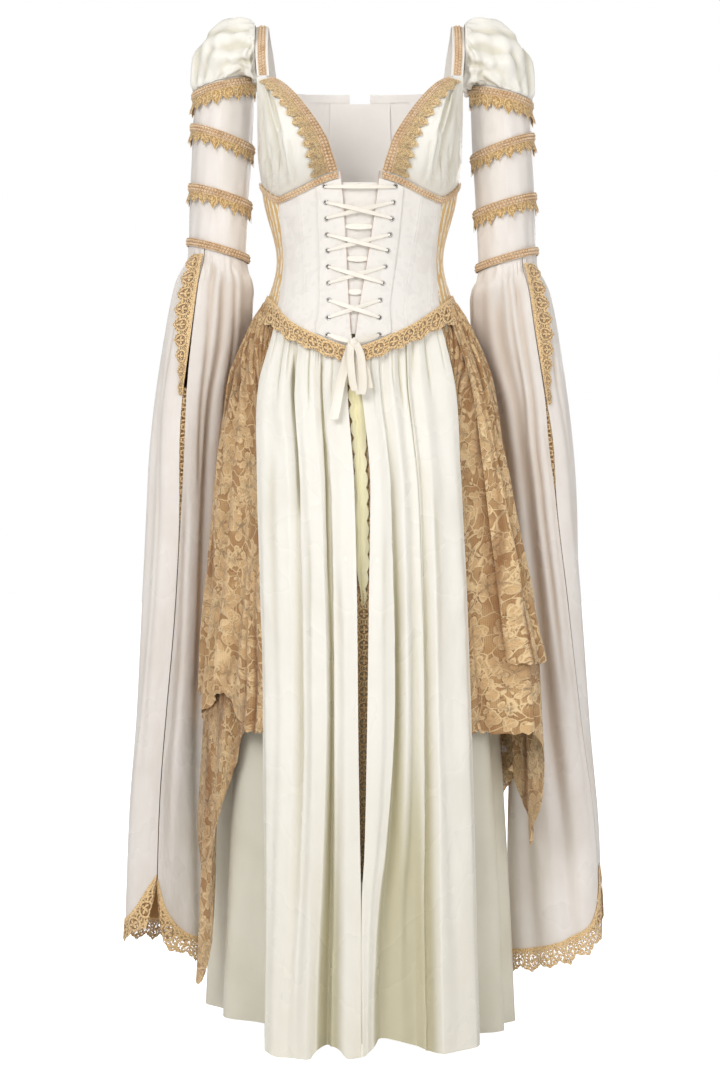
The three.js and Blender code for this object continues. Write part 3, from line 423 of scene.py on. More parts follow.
def fade(value, start, end):  # 0 before start and 1 after end
    settings = {"Value": value, "From Min": start, "From Max": end}
    return addNode("ShaderNodeMapRange", settings, interpolation_type="SMOOTHSTEP").outputs[0]


def noiseOf(vector, scale, detail=2.0):
    return addNode("ShaderNodeTexNoise", {"Vector": vector, "Scale": scale, "Detail": detail}).outputs["Fac"]


def cellsOf(vector, scale, randomness, feature="F1"):
    inputs = {"Vector": vector, "Scale": scale, "Randomness": randomness}
    return addNode("ShaderNodeTexVoronoi", inputs, feature=feature).outputs


def axesOf(vector):
    return addNode("ShaderNodeSeparateXYZ", {0: vector}).outputs


def objectPlace():
    return addNode("ShaderNodeTexCoord", {}).outputs["Object"]


def paintedShadeOf():  # how much painted shade a point gets, mostly from how deep in a fold it lies
    return addNode("ShaderNodeAttribute", {}, attribute_name="paintedShade").outputs["Fac"]


def stretched(vector, scale):
    return addNode("ShaderNodeMapping", {"Vector": vector, "Scale": scale}).outputs[0]


def newGroup(name, inputs, outputs):
    group = bpy.data.node_groups.new(name, "ShaderNodeTree")
    for label, kind, value in inputs:
        socket = group.interface.new_socket(name=label, in_out="INPUT", socket_type="NodeSocket" + kind)
        if value is not None:
            socket.default_value = value
    for label in outputs:
        group.interface.new_socket(name=label, in_out="OUTPUT", socket_type="NodeSocketFloat")
    growing.append(group)
    return group, group.nodes.new("NodeGroupInput").outputs, group.nodes.new("NodeGroupOutput").inputs


def weaveGroup():  # fine crossing threads, long streaks along the warp, and broad uneven tone
    group, given, made = newGroup(
        "cloth weave", [("Vector", "Vector", None), ("Threads", "Float", 1400.0)], ["Height", "Streaks", "Tone"])
    scaled = addNode("ShaderNodeVectorMath", {0: given["Vector"]}, operation="SCALE")
    plug(scaled.inputs["Scale"], given["Threads"])
    parts = axesOf(scaled.outputs[0])
    warp = calc("SINE", times(parts[0], 2.0))
    weft = calc("SINE", scaledSum(parts[1], 2.0, times(parts[0], 0.5)))
    plug(made["Height"], scaledSum(times(warp, weft), 0.5, 0.5))
    plug(made["Streaks"], noiseOf(stretched(given["Vector"], (260, 9, 1)), 1.0, 3.0))
    plug(made["Tone"], noiseOf(given["Vector"], 9.0, 3.0))
    return group


def flowerCells(vector, scale, petals, size):  # rounded petals about the centres of scattered cells
    place = stretched(vector, (scale, scale * 0.93, 1))
    cells = cellsOf(place, 1.0, 0.72)
    moved = addNode("ShaderNodeVectorMath", {0: place, 1: cells["Position"]}, operation="SUBTRACT")
    parts = axesOf(moved.outputs[0])
    tints = addNode("ShaderNodeSeparateColor", {0: cells["Color"]}).outputs
    turn = scaledSum(tints[0], 6.0, calc("ARCTAN2", parts[1], parts[0]))
    lobes = absolute(calc("COSINE", times(turn, petals / 2)))
    reach = scaledSum(lobes, size * 0.42, size * 0.62)
    return minus(reach, cells["Distance"]), cells["Distance"], lobes


def laceGroup():  # flowers and leaves with corded outlines and ribbed petals, on an open net
    group, given, made = newGroup(
        "floral lace", [("Vector", "Vector", None)], ["Solid", "Petal", "Height", "Cord", "Shadow"])
    bent = addNode("ShaderNodeTexNoise", {"Vector": given["Vector"], "Scale": 46.0, "Detail": 1.0})
    wander = addNode("ShaderNodeVectorMath", {0: bent.outputs["Color"], 1: (0.014, 0.014, 0),
                                                    2: given["Vector"]}, operation="MULTIPLY_ADD").outputs[0]
    bloom, bloomRadius, bloomLobes = flowerCells(wander, 27.0, 5, 0.56)
    leaf = flowerCells(stretched(wander, (1.0, 0.8, 1)), 58.0, 3, 0.46)[0]
    stems = cellsOf(wander, 46.0, 0.9, "DISTANCE_TO_EDGE")["Distance"]
    petal = greatest(fade(bloom, 0.0, 0.02), fade(leaf, 0.0, 0.03))
    line = lambda value, thin, wide: inverse(fade(absolute(value), thin, wide))
    inner = line(minus(bloom, 0.16), 0.006, 0.02)
    edge = greatest(line(bloom, 0.016, 0.05), line(leaf, 0.02, 0.075), line(stems, 0.015, 0.045), inner)
    heart = times(inverse(fade(bloomRadius, 0.05, 0.1)),
                 fade(calc("SINE", times(bloomLobes, 14.0)), 0.0, 0.6))
    net = cellsOf(given["Vector"], 430.0, 0.25, "DISTANCE_TO_EDGE")["Distance"]
    thread = inverse(fade(net, 0.1, 0.2))
    plug(made["Solid"], calc("MINIMUM", greatest(petal, edge, thread, 0.72), 1.0))
    plug(made["Petal"], petal)
    under = greatest(line(plus(bloom, 0.055), 0.006, 0.03),
                     line(plus(leaf, 0.09), 0.01, 0.05))
    plug(made["Shadow"], times(under, fade(noiseOf(given["Vector"], 90.0), 0.45, 0.6)))
    rib = calc("SINE", times(bloomLobes, 22.0))
    fine = times(times(fade(rib, 0.3, 1.0), 0.45), petal)
    plug(made["Cord"], greatest(edge, heart, fine))
    ribs = times(rib, 0.16)
    height = plus(times(petal, plus(0.45, ribs)), times(edge, 0.6))
    plug(made["Height"], plus(height, times(thread, 0.2)))
    return group


def crochetGroup():  # rings with crossed petals between a looped border and the edge; one repeat is one unit
    group, given, made = newGroup(
        "crochet lace", [("Vector", "Vector", None), ("Open", "Float", 1.0)], ["Solid", "Height"])
    parts = axesOf(given["Vector"])
    x = minus(calc("FRACT", parts[0]), 0.5)
    y = minus(parts[1], 0.6)
    radius = calc("SQRT", plus(times(x, x), times(y, y)))
    turn = calc("ARCTAN2", y, x)
    rim = absolute(minus(radius, 0.36))
    ring = inverse(fade(rim, 0.045, 0.085))
    lobes = absolute(calc("COSINE", times(turn, 2.0)))
    petals = fade(minus(scaledSum(lobes, 0.24, 0.05), radius), 0.0, 0.05)
    bars = fade(absolute(calc("SINE", times(turn, 9.0))), 0.45, 0.75)
    outside = times(fade(radius, 0.4, 0.44), bars)
    hem = fade(radius, 0.5, 0.54)
    border = inverse(fade(parts[1], 0.17, 0.21))
    knots = noiseOf(stretched(given["Vector"], (13, 13, 1)), 1.0, 1.0)
    solid = greatest(ring, petals, outside, hem, border)
    plug(made["Solid"], greatest(solid, inverse(given["Open"]), fade(knots, 0.5, 0.6)))
    plug(made["Height"], plus(solid, times(knots, 0.8)))
    return group


def stitchGroup():  # small looped stitches and thread twist, for braid and dense lace, with painted shade in the gaps between the loops
    group, given, made = newGroup(
        "thread work", [("Vector", "Vector", None), ("Size", "Float", 520.0)], ["Height", "GapShade"])
    far = cellsOf(given["Vector"], given["Size"], 0.75)["Distance"]
    twist = noiseOf(given["Vector"], 1900.0, 1.0)
    plug(made["Height"], scaledSum(twist, 0.35, inverse(times(far, 1.3))))
    # painted shade between the loops
    plug(made["GapShade"], fade(far, 0.42, 0.72))
    return group


weave, floral, crochet, stitches = weaveGroup(), laceGroup(), crochetGroup(), stitchGroup()


def useGroup(group, inputs):
    return addNode("ShaderNodeGroup", inputs, node_tree=group).outputs


def newMaterial(name, roughness, sheen=0.0, specular=0.5):
    material = bpy.data.materials.new(name)
    material.use_nodes = True
    growing.append(material.node_tree)
    shader = material.node_tree.nodes["Principled BSDF"]
    shader.inputs["Roughness"].default_value = roughness
    shader.inputs["Sheen Weight"].default_value = sheen
    shader.inputs["Specular IOR Level"].default_value = specular
    return material, shader


def paint(shader, colour):
    plug(shader.inputs["Base Color"], colour)


def surfaceMap():
    return addNode("ShaderNodeUVMap", {}, uv_map="UVMap").outputs[0]


def bumped(shader, height, distance, strength=1.0):
    bumps = addNode("ShaderNodeBump", {"Height": height, "Distance": distance, "Strength": strength})
    plug(shader.inputs["Normal"], bumps.outputs[0])


def satinMaterial(name, light, shaded, paintedShade, roughness, threads, streaks=0.0):
    material, shader = newMaterial(name, roughness, 0.12)
    cloth = useGroup(weave, {"Vector": surfaceMap(), "Threads": threads})
    colour = blendColours(times(fade(cloth["Tone"], 0.38, 0.68), 0.55), light, shaded)
    deep = paintedShadeOf()
    # painted shade: the colour goes towards the shade tone in the folds, and towards a dark painted shadow in the
    # deepest slits
    colour = blendColours(calc("MINIMUM", deep, 1.0), colour, paintedShade)
    colour = blendColours(fade(deep, 1.0, 1.8), colour, tone(112, 104, 72))
    paint(shader, colour)
    glow = scaledSum(fade(cloth["Tone"], 0.3, 0.7), 0.1, roughness - 0.05)
    plug(shader.inputs["Roughness"], glow)
    crumpled = noiseOf(stretched(surfaceMap(), (34, 20, 1)), 1.0, 2.0)
    height = scaledSum(cloth["Streaks"], streaks, times(cloth["Height"], 0.10))
    bumped(shader, scaledSum(crumpled, 1.9, height), 0.0011)
    return material


# the last tone of each satin is the colour of its painted shade
ivorySatin = satinMaterial(
    "ivory_satin", tone(246, 242, 232), tone(239, 234, 221), tone(202, 194, 162), 0.29, 3300)
skirtSatin = satinMaterial(
    "underskirt_satin", tone(230, 224, 206), tone(218, 212, 190), tone(186, 178, 142), 0.34, 3300)
sleeveSatin = satinMaterial(
    "sleeve_satin", tone(241, 234, 227), tone(230, 220, 209), tone(200, 174, 144), 0.31, 3300)
goldLining = satinMaterial(
    "gold_lining", tone(214, 172, 118), tone(196, 150, 96), tone(150, 104, 60), 0.42, 3300)
yellowSatin = satinMaterial(
    "pale_yellow_satin", tone(250, 242, 200), tone(242, 232, 180), tone(220, 204, 138), 0.36, 3300)
clothBack = satinMaterial(
    "inner_coutil", tone(252, 247, 242), tone(244, 238, 231), tone(216, 208, 200), 0.62, 2600, 0.2)


def jacquardMaterial():  # matt white cloth with a quiet woven figure
    material, shader = newMaterial("corset_jacquard", 0.52, 0.1)
    surface = surfaceMap()
    cloth = useGroup(weave, {"Vector": surface, "Threads": 2600.0})
    figure = cellsOf(surface, 84.0, 0.8, "SMOOTH_F1")["Distance"]
    petals = fade(calc("SINE", times(figure, 13.0)), -0.2, 0.4)
    colour = blendColours(petals, tone(242, 237, 230), tone(237, 232, 225))
    colour = blendColours(times(cloth["Tone"], 0.35), colour, tone(238, 232, 223))
    # painted shade in folds, where a piece stores it
    paint(shader, blendColours(paintedShadeOf(), colour, tone(206, 196, 184)))
    plug(shader.inputs["Roughness"], scaledSum(petals, -0.12, 0.58))
    bumped(shader, scaledSum(petals, 0.10, times(cloth["Height"], 0.18)), 0.0008)
    return material


def stripedMaterial():  # gold brocade with broken white stripes
    material, shader = newMaterial("striped_brocade", 0.5, 0.1)
    surface = surfaceMap()
    parts = axesOf(surface)
    sway = noiseOf(stretched(surface, (90, 60, 1)), 1.0, 2.0)
    place = plus(times(parts[0], 560.0), times(sway, 2.6))
    stripe = fade(calc("SINE", place), 0.05, 0.4)
    broken = fade(noiseOf(stretched(surface, (420, 75, 1)), 1.0, 3.0), 0.42, 0.5)
    stripe = times(stripe, broken)
    paint(shader, blendColours(stripe, tone(228, 188, 122), tone(252, 246, 232)))
    cloth = useGroup(weave, {"Vector": surface, "Threads": 2600.0})
    bumped(shader, scaledSum(stripe, 0.3, times(cloth["Height"], 0.2)), 0.0009)
    return material


def floralMaterial():
    material, shader = newMaterial("floral_lace", 0.62, 0.25, 0.35)
    surface = surfaceMap()
    lace = useGroup(floral, {"Vector": surface})
    threads = useGroup(stitches, {"Vector": surface, "Size": 760.0})
    netShade = fade(noiseOf(surface, 38.0, 2.0), 0.36, 0.62)  # darker patches of painted shade, as of the shaded layers seen through the net
    ground = blendColours(netShade, tone(214, 173, 122), tone(190, 146, 98))
    colour = blendColours(lace["Petal"], ground, tone(222, 182, 130))
    colour = blendColours(times(lace["Shadow"], 0.75), colour, tone(150, 106, 62))
    colour = blendColours(times(lace["Cord"], 0.85), colour, tone(250, 220, 170))
    # painted shade in the gaps between the stitches
    colour = blendColours(times(threads["GapShade"], 0.16), colour, tone(166, 121, 76))
    # painted shade in the lace's folds
    paint(shader, blendColours(paintedShadeOf(), colour, tone(146, 98, 54)))
    plug(shader.inputs["Alpha"], lace["Solid"])
    bumped(shader, scaledSum(threads["Height"], 0.2, lace["Height"]), 0.0011)
    return material


def crochetMaterial(name, light, dark, openness):
    material, shader = newMaterial(name, 0.68, 0.25, 0.3)
    surface = surfaceMap()
    lace = useGroup(crochet, {"Vector": surface, "Open": openness})
    threads = useGroup(stitches, {"Vector": objectPlace(), "Size": 620.0})
    colour = blendColours(fade(lace["Height"], 0.35, 1.1), dark, light)
    # painted shade in the gaps between the stitches
    colour = blendColours(times(threads["GapShade"], 0.6), colour, tone(166, 118, 70))
    paint(shader, colour)
    plug(shader.inputs["Alpha"], lace["Solid"])
    bumped(shader, scaledSum(threads["Height"], 0.5, lace["Height"]), 0.0012)
    return material


def braidMaterial(name, light, dark):
    material, shader = newMaterial(name, 0.66, 0.25, 0.3)
    place = objectPlace()
    threads = useGroup(stitches, {"Vector": place, "Size": 900.0})
    colour = blendColours(fade(noiseOf(place, 60.0), 0.35, 0.7), light, dark)
    # painted shade in the gaps between the stitches
    colour = blendColours(times(threads["GapShade"], 0.35), colour, tone(196, 150, 106))
    paint(shader, colour)
    bumped(shader, threads["Height"], 0.0007)
    return material


def plainRibbonMaterial():
    material, shader = newMaterial("cream_ribbon", 0.48, 0.15)
    cloth = useGroup(weave, {"Vector": objectPlace(), "Threads": 3000.0})
    paint(shader, blendColours(fade(cloth["Tone"], 0.35, 0.7), tone(250, 244, 232), tone(236, 227, 211)))
    bumped(shader, scaledSum(cloth["Streaks"], 0.4, times(cloth["Height"], 0.2)), 0.0008)
    return material


def metalMaterial():
    material, shader = newMaterial("eyelet_metal", 0.28)
    shader.inputs["Metallic"].default_value = 1.0
    rubbed = noiseOf(objectPlace(), 420.0, 3.0)
    colour = blendColours(fade(rubbed, 0.35, 0.7), tone(206, 204, 202), tone(158, 152, 146))
    paint(shader, colour)
    plug(shader.inputs["Roughness"], scaledSum(rubbed, 0.3, 0.14))
    return material


# a dark disk that fills each eyelet's hole: painted shadow
def eyeletShadowMaterial():
    material, shader = newMaterial("eyelet_hole_shadow", 0.7)
    paint(shader, blendColours(noiseOf(objectPlace(), 300.0), tone(44, 34, 30), tone(86, 66, 54)))
    return material


jacquard, striped, floralLace = jacquardMaterial(), stripedMaterial(), floralMaterial()
crochetLace = crochetMaterial("crochet_lace", tone(250, 216, 162), tone(204, 155, 99), 0.85)
pointLace = crochetMaterial("pointed_lace", tone(246, 212, 152), tone(216, 172, 110), 0.12)
neckLaceCloth = crochetMaterial("neck_lace", tone(250, 220, 166), tone(228, 188, 130), 0.08)
braid = braidMaterial("pink_gold_braid", tone(252, 228, 194), tone(240, 208, 166))
ribbonCloth, eyeletMetal, eyeletHoleShadow = plainRibbonMaterial(), metalMaterial(), eyeletShadowMaterial()
# the band under the braids: its darker tone is painted shade seen between the loops
braidTapeShade = braidMaterial("braid_tape_shade", tone(222, 184, 142), tone(200, 158, 116))
piping = braidMaterial("pink_piping", tone(226, 204, 190), tone(206, 180, 164))
print("finishes ready")


# The lacing's free ends, which hang from the knot of the bow

knot = {"place": (0, -117, -452), "size": 6.0}
tailShapes = {
    "long": {"width": 13, "points": [(-2, 1, -1), (-8, -8, -20), (-13, -13, -38), (-19, -18, -60), (-24, -22, -82),
                                     (-30, -26, -104)]},
    "short": {"width": 8, "points": [(2, 1, -1), (11, -9, -20), (17, -14, -34), (20, -16, -48), (22, -18, -62)]},
}


def curvePoints(rows, count):  # an even, smooth line through a few points
    rows = np.array(rows, float)
    lengths = np.concatenate([[0], np.cumsum(np.linalg.norm(np.diff(rows, axis=0), axis=1))])
    table = np.column_stack([lengths, rows])
    return np.stack(readTable(table, np.linspace(0, lengths[-1], count)), axis=-1)


def ribbonForm(line, width, cup=0.12):  # a flat ribbon, a little hollowed along its middle
    across = np.broadcast_to([1.0, 0.0, 0.0], line.shape)
    out = unit(np.cross(np.gradient(line, axis=0), across))

    def form(u, v):
        i = np.rint(v * (len(line) - 1)).astype(int)
        spread = (u - 0.5)[..., None]
        return line[i] + across[i] * spread * width + out[i] * (spread**2 - 0.12) * 4 * width * cup
    return form


def ribbonPiece(name, line, width, nodes):
    form = ribbonForm(line, width)
    piece = gridPiece(name, leaned(form(*unitGrid(6, len(line) - 1))) / 1000, ribbonCloth)[0]
    thicken(piece, 0.7)
    smoothShade(50)
    rideOn(piece, nodes)
    return piece


for label, tail in tailShapes.items():
    line = curvePoints(tail["points"], 34) + np.array(knot["place"])
    piece = ribbonPiece(f"bow_tail_{label}", line, tail["width"], ["lacing_bow"])
    path = leaned(line) / 1000
print("free ends of the lacing ready")


# Bodice

bodice = {"grid": (120, 70), "boning": [(0.62, 0.48), (0.92, 0.86)], "thick": 1.6}


def frontPoint(u, v, out=0.0, start=0.0, end=1.0, top=0.0, foot=0.0):
    share = mix(start, end, u)
    angle = mix(12.0, 57.0, share)
    for _ in range(3):
        z = mix(underbustZ(angle) - seam - top, waistZ(angle) + seam + foot, v)
        angle = mix(angleOf(frontGap(z), z), readTable(sideSeamRows, z)[0], share)
    return bodyPoint(angle, z, out)


def bodiceFine(u, v):
    bones = (mix(top, foot, v) for top, foot in bodice["boning"])
    lines = sum(-0.55 * bump(u, bone, 0.006) + 0.5 * bump(u, bone, 0.035) for bone in bones)
    pull = 0.8 * softNoise(u * 5, v * 7, 3) * ramp(u, 0.35, 0.6)
    pull = pull + 0.5 * softNoise(u * 9 + v * 4, v * 16, 4) * ramp(v, 0.55, 1)
    return lines + pull * ramp(v, 0, 0.06) * ramp(v, 1, 0.94) * ramp(u, 1, 0.96) - 0.6


def tubeMesh(lines, radii, sides=5):  # round threads along several lines, in one mesh
    points, faces, start = [], [], 0
    for line, radius in zip(lines, radii):
        along = unit(np.gradient(line, axis=0))
        first = unit(np.cross(along, np.broadcast_to([0.0, -1.0, 0.0], line.shape)))
        second = unit(np.cross(first, along))
        turn = np.linspace(0, 2 * np.pi, sides, endpoint=False)
        ring = first[:, None] * np.cos(turn)[None, :, None] + second[:, None] * np.sin(turn)[None, :, None]
        size = np.broadcast_to(radius, len(line))[:, None, None]
        points.append((line[:, None] + ring * size).reshape(-1, 3))
        count = len(line)
        for i in range(count - 1):
            for k in range(sides):
                a, b = start + i * sides + k, start + i * sides + (k + 1) % sides
                faces.append((a, b, b + sides, a + sides))
        faces.append([start + k for k in range(sides)][::-1])
        faces.append([start + (count - 1) * sides + k for k in range(sides)])
        start += count * sides
    return np.concatenate(points), faces


def mirroredFor(side, points):
    return leaned(points if side == "left" else points * np.array([-1, 1, 1]))


def threadPiece(name, side, lines, radii, material, nodes=()):
    points, faces = tubeMesh(lines, radii)
    rideOn(outwardMesh(meshPiece(f"{name}_{side}", mirroredFor(side, points), faces, material)), nodes)


for side in allSides:
    makeCloth("front", "corset_front", frontPoint, bodice["grid"], jacquard, side, thick=bodice["thick"],
              fine=bodiceFine, lining=clothBack)
    openingEdge = frontPoint(np.zeros(60), np.linspace(0, 1, 60), 0.3)
    threadPiece("opening_piping", side, [openingEdge], [0.9], piping)

eyelets = {"count": 10, "inset": 18 / 84, "radius": 2.9, "thread": 1.0, "share": (0.068, 0.955)}


def eyeletShare(i):
    return mix(eyelets["share"][0], eyelets["share"][1], i / (eyelets["count"] - 1))


def spot(form, u, v):
    return form(np.array([[u]]), np.array([[v]]))[0, 0]


def placketForm(u, v):
    return frontPoint(u, v, 1.7, end=28 / 84, top=10.5, foot=6.5)


def placketFine(u, v):
    rim = 0.55 * (ramp(u, 0.04, 0.0) + ramp(u, 0.96, 1.0) + ramp(v, 0.01, 0.0) + ramp(v, 0.99, 1.0))
    stitched = 0.25 * (bump(u, 0.1, 0.018) + bump(u, 0.9, 0.018)) * (0.6 + 0.4 * np.sin(v * 520))
    return 0.2 * softNoise(u * 3, v * 22, 8) - rim - stitched


for side in allSides:
    makeCloth("placket", "eyelet_placket", placketForm, (36, 150), jacquard, side, thick=0.95, fine=placketFine)
    grommets = []
    for i in range(eyelets["count"]):
        seat = spot(lambda u, v: frontPoint(u, v, 1.9), eyelets["inset"], eyeletShare(i))
        away = spot(lambda u, v: frontPoint(u, v, 9.0), eyelets["inset"], eyeletShare(i)) - seat
        place = mirroredFor(side, np.array([seat, seat + away]))
        turn = Vector((place[1] - place[0]).tolist()).to_track_quat("Z", "Y").to_euler()
        seated = {"location": (place[0] / 1000).tolist(), "rotation": turn}
        radius = eyelets["radius"] / 1000
        bpy.ops.mesh.primitive_torus_add(major_segments=20, minor_segments=8, major_radius=radius,
                                         minor_radius=eyelets["thread"] / 1000, **seated)
        ring = bpy.context.object
        ring.data.materials.append(eyeletMetal)
        ring.data.materials.append(eyeletHoleShadow)
        # a dark disk in the hole: painted shadow
        bpy.ops.mesh.primitive_cone_add(vertices=20, radius1=radius, radius2=radius / 2, depth=0.0004, **seated)
        hole = bpy.context.object
        hole.data.materials.append(eyeletHoleShadow)
        grommets += [ring, hole]
    metalwork = joined(grommets, f"eyelets_{side}")
    bpy.ops.object.transform_apply(location=True, rotation=True, scale=True)
    smoothShade(50)
    rideOn(metalwork, [f"eyelet_placket_{side}"])


def sidePoint(u, v):
    angle = mix(58, backSeam, u)
    for _ in range(3):
        z = mix(underbustZ(np.minimum(angle, 88)) - seam, waistZ(angle) + seam, v)
        angle = mix(readTable(sideSeamRows, z)[0] + 0.2, backSeam - 0.2, u)
    return bodyPoint(angle, z)


def backPoint(u, v, out=0.0):
    angle = mix(backSeam, 175, u)
    for _ in range(3):
        z = mix(readTable(backTopRows, angle)[0], waistZ(angle) + seam, v)
        angle = mix(backSeam, 180 - angleOf(backGap(z), z), u)
    return bodyPoint(angle, z, out)


def sideFine(u, v):
    return 0.5 * softNoise(u * 3, v * 6, 11) - 0.5 * bump(u, 0.5, 0.012) - 0.4


def backFine(u, v):
    lines = sum(-0.5 * bump(u, k, 0.006) + 0.35 * bump(u, k, 0.03) for k in (0.3, 0.62, 0.8, 0.97))
    return lines + 0.6 * softNoise(u * 4, v * 6, 12) * ramp(v, 1, 0.9) - 0.4


for side in allSides:
    makeCloth("side", "corset_side", sidePoint, (50, 60), striped, side, thick=bodice["thick"], fine=sideFine,
              lining=clothBack)
    makeCloth("back", "corset_back", backPoint, (90, 90), jacquard, side, thick=bodice["thick"], fine=backFine,
              lining=clothBack)
    makeCloth("back_binding", "corset_back", lambda u, v: backPoint(u, 0.003 + 0.034 * v, -2.2), (60, 8), clothBack,
              side, thick=0.6)
    makeCloth("bone_channel", "corset_back", lambda u, v: backPoint(mix(0.60, 0.66, u), 0.036 + 0.9 * v, -2.2),
              (8, 60), clothBack, side, thick=0.5)
makeCloth("front_modesty", "front_modesty_panel",
          lambda u, v: bodyPoint(mix(-24, 24, u) * mix(1, 0.5, v), mix(-231, -438, v), -3), (50, 90), jacquard,
          fine=lambda u, v: 0.4 * softNoise(u * 3, v * 12, 14))
makeCloth("back_modesty", "back_modesty_panel",
          lambda u, v: bodyPoint(180 + mix(-19, 19, u), mix(-94, -386, v), -3.2), (50, 90), jacquard,
          fine=lambda u, v: 0.5 * softNoise(u * 3, v * 10, 15), lining=clothBack)
print("bodice ready")


# Cups, with their braid and pointed lace

def lengthways(repeats, start=0.1, share=0.9):  # a lace pattern that repeats down a strip
    return lambda u, v, along, down: (v * repeats, start + share * u)


def crossways(repeats, start, share):  # a lace pattern that repeats round a band
    return lambda u, v, along, down: (u * repeats, start + share * v)


cups = {"fullness": 52, "gathers": 7, "depth": 1.2, "grid": (110, 80)}
necklineRows = [
    (0, 28, -95, -215), (0.2, 37, -103, -193), (0.35, 46, -106, -171), (0.55, 65, -105, -142),
    (0.75, 88, -95, -112), (0.9, 107, -80, -93), (1, 124, -67, -83),
]
armholeRows = [
    (0, 136, -4, -217), (0.3, 141, -17, -188), (0.6, 142, -37, -150), (0.85, 142, -54, -110), (1, 142, -63, -82),
]


def gatherReach(u, v):
    return ramp(u, 0.22, 0.42) * (0.35 + 0.65 * np.abs(2 * v - 1)) * ramp(v, 0, 0.12) * ramp(v, 1, 0.8)


def cupPoint(u, v, gathered=1.0):
    neck, arm = readTable(necklineRows, v), readTable(armholeRows, v)
    footAngle = mix(12, 88, u)
    foot = bodyPoint(footAngle, underbustZ(footAngle) + seam)
    settle = (1 - v) ** 2
    parts = []
    for k in range(3):
        line = mix(necklineRows[0][k + 1], armholeRows[0][k + 1], u)
        parts.append(mix(neck[k], arm[k], u) + settle * (foot[..., k] - line))
    swell = np.maximum(0, np.sin(np.pi * u)) ** 0.85 * np.sin(np.pi * np.clip(v, 0, 1) ** 0.85)
    gather = gathered * cups["depth"] * np.cos(2 * np.pi * cups["gathers"] * u) * gatherReach(u, v)
    push = cups["fullness"] * swell + gather
    return vectors(parts[0] + 0.12 * push, parts[1] - push, parts[2])


cupCreases = [
    (0.72, 0.5, 0.08, 0.9, 0.05, -7), (0.58, 0.46, 0.02, 0.6, 0.04, -5), (0.86, 0.68, 0.25, 0.98, 0.04, -5),
    (0.48, 0.44, 0.55, 1, 0.025, -2.8), (0.66, 0.7, 0.6, 1, 0.02, -3), (0.78, 0.82, 0.65, 1, 0.02, -2.8),
    (0.9, 0.86, 0.02, 0.5, 0.02, -2.4), (0.56, 0.58, 0.7, 1, 0.015, -2.2), (0.38, 0.36, 0.62, 1, 0.02, -2),
    (0.46, 0.52, 0.2, 0.6, 0.03, -2),
]


def cupShade(u, v):
    return np.clip(-creased(u, v, cupCreases) / 14, 0, 0.4)


def cupFine(u, v):  # v runs down the cup here
    atSeams = ramp(v, 0.62, 0.98) + ramp(v, 0.3, 0.02) * ramp(u, 0.3, 0.6)
    fan = 0.45 * softNoise(u * 26 + 2 * softNoise(v * 3, u, 20), v * 3, 21) * atSeams
    broad = 1.6 * softNoise(u * 6 + v * 2, v * 4, 22) * ramp(u, 0.02, 0.2)
    hold = ramp(u, 0, 0.05) * ramp(u, 1, 0.96) * ramp(v, 0, 0.04) * ramp(v, 1, 0.97)
    return (creased(u, v, cupCreases) + fan + broad) * hold - 0.3


laceShape = {"points": 11, "depth": (15, 24), "reach": 0.96}


def neckForm(wide, lift, under=0.0):  # a strip along the neckline: wide gives its width there, in millimetres
    def form(u, v):
        place = mix(0.02, 0.96, 1 - v)
        inner, outer = cupPoint(np.zeros_like(place), place, 0), cupPoint(np.ones_like(place), place, 0)
        row = np.linalg.norm(inner - outer, axis=-1)
        width = mix(under, wide(u, place), u)
        across = laceShape["reach"] * np.tanh(width / (laceShape["reach"] * row))
        facing = np.maximum(across, 0.07)
        along = cupPoint(facing + 1e-3, place, 0) - cupPoint(facing - 1e-3, place, 0)
        down = cupPoint(facing, place - 1e-3, 0) - cupPoint(facing, place + 1e-3, 0)
        clear = lift + cups["depth"] * gatherReach(across, place)
        return cupPoint(across, place, 0) + unit(np.cross(down, along)) * clear[..., None]
    return form


def teeth(place, count, sub=3.0):  # uneven pointed scallops, each with smaller points along its edge
    along = place * count
    tall = 0.82 + 0.18 * np.sin(2.4 * np.floor(along) + 1.1) if count > 14 else 1.0
    tooth = (1 - np.abs(along % 1 * 2 - 1)) * tall
    small = 1 - np.abs((along * sub) % 1 * 2 - 1)
    return tooth**0.9 + 0.2 * small - 0.08


def loopsOn(form, turned, wide, length, rows=2, pitch=4.7):  # rows of small loops between two edge cords
    count = int(length / pitch * 9)
    run = np.linspace(0.0, 1.0, count)
    lines, radii = [], []
    places = [(row + 0.5) / rows * 0.8 + 0.1 for row in range(rows)] + [0.03, 0.97]
    for k, middle in enumerate(places):
        at = lambda s, t: form(t, s) if turned else form(s, t)
        base = at(np.full(count, middle), run)
        across = unit(at(np.full(count, middle + 0.02), run) - at(np.full(count, middle - 0.02), run))
        edge = k >= rows
        travelled = np.concatenate([[0], np.cumsum(np.linalg.norm(np.diff(base, axis=0), axis=1))])
        phase = 2 * np.pi * travelled / pitch + np.pi * k + (0.8 if turned else 0.0)
        lines.append(base + across * ((0.12 if edge else 0.5) * np.sin(phase))[:, None])
        thick = wide / (rows + 0.6) * 0.5
        radii.append(np.full(count, 0.5) if edge else thick * (0.56 + 0.44 * np.cos(phase)))
    return lines, radii


def braidPiece(name, node, side, form, turned, wide, length):
    lines, radii = loopsOn(form, turned, wide, length)
    threadPiece(name, side, lines, radii, braid, [f"{node}_{side}"])


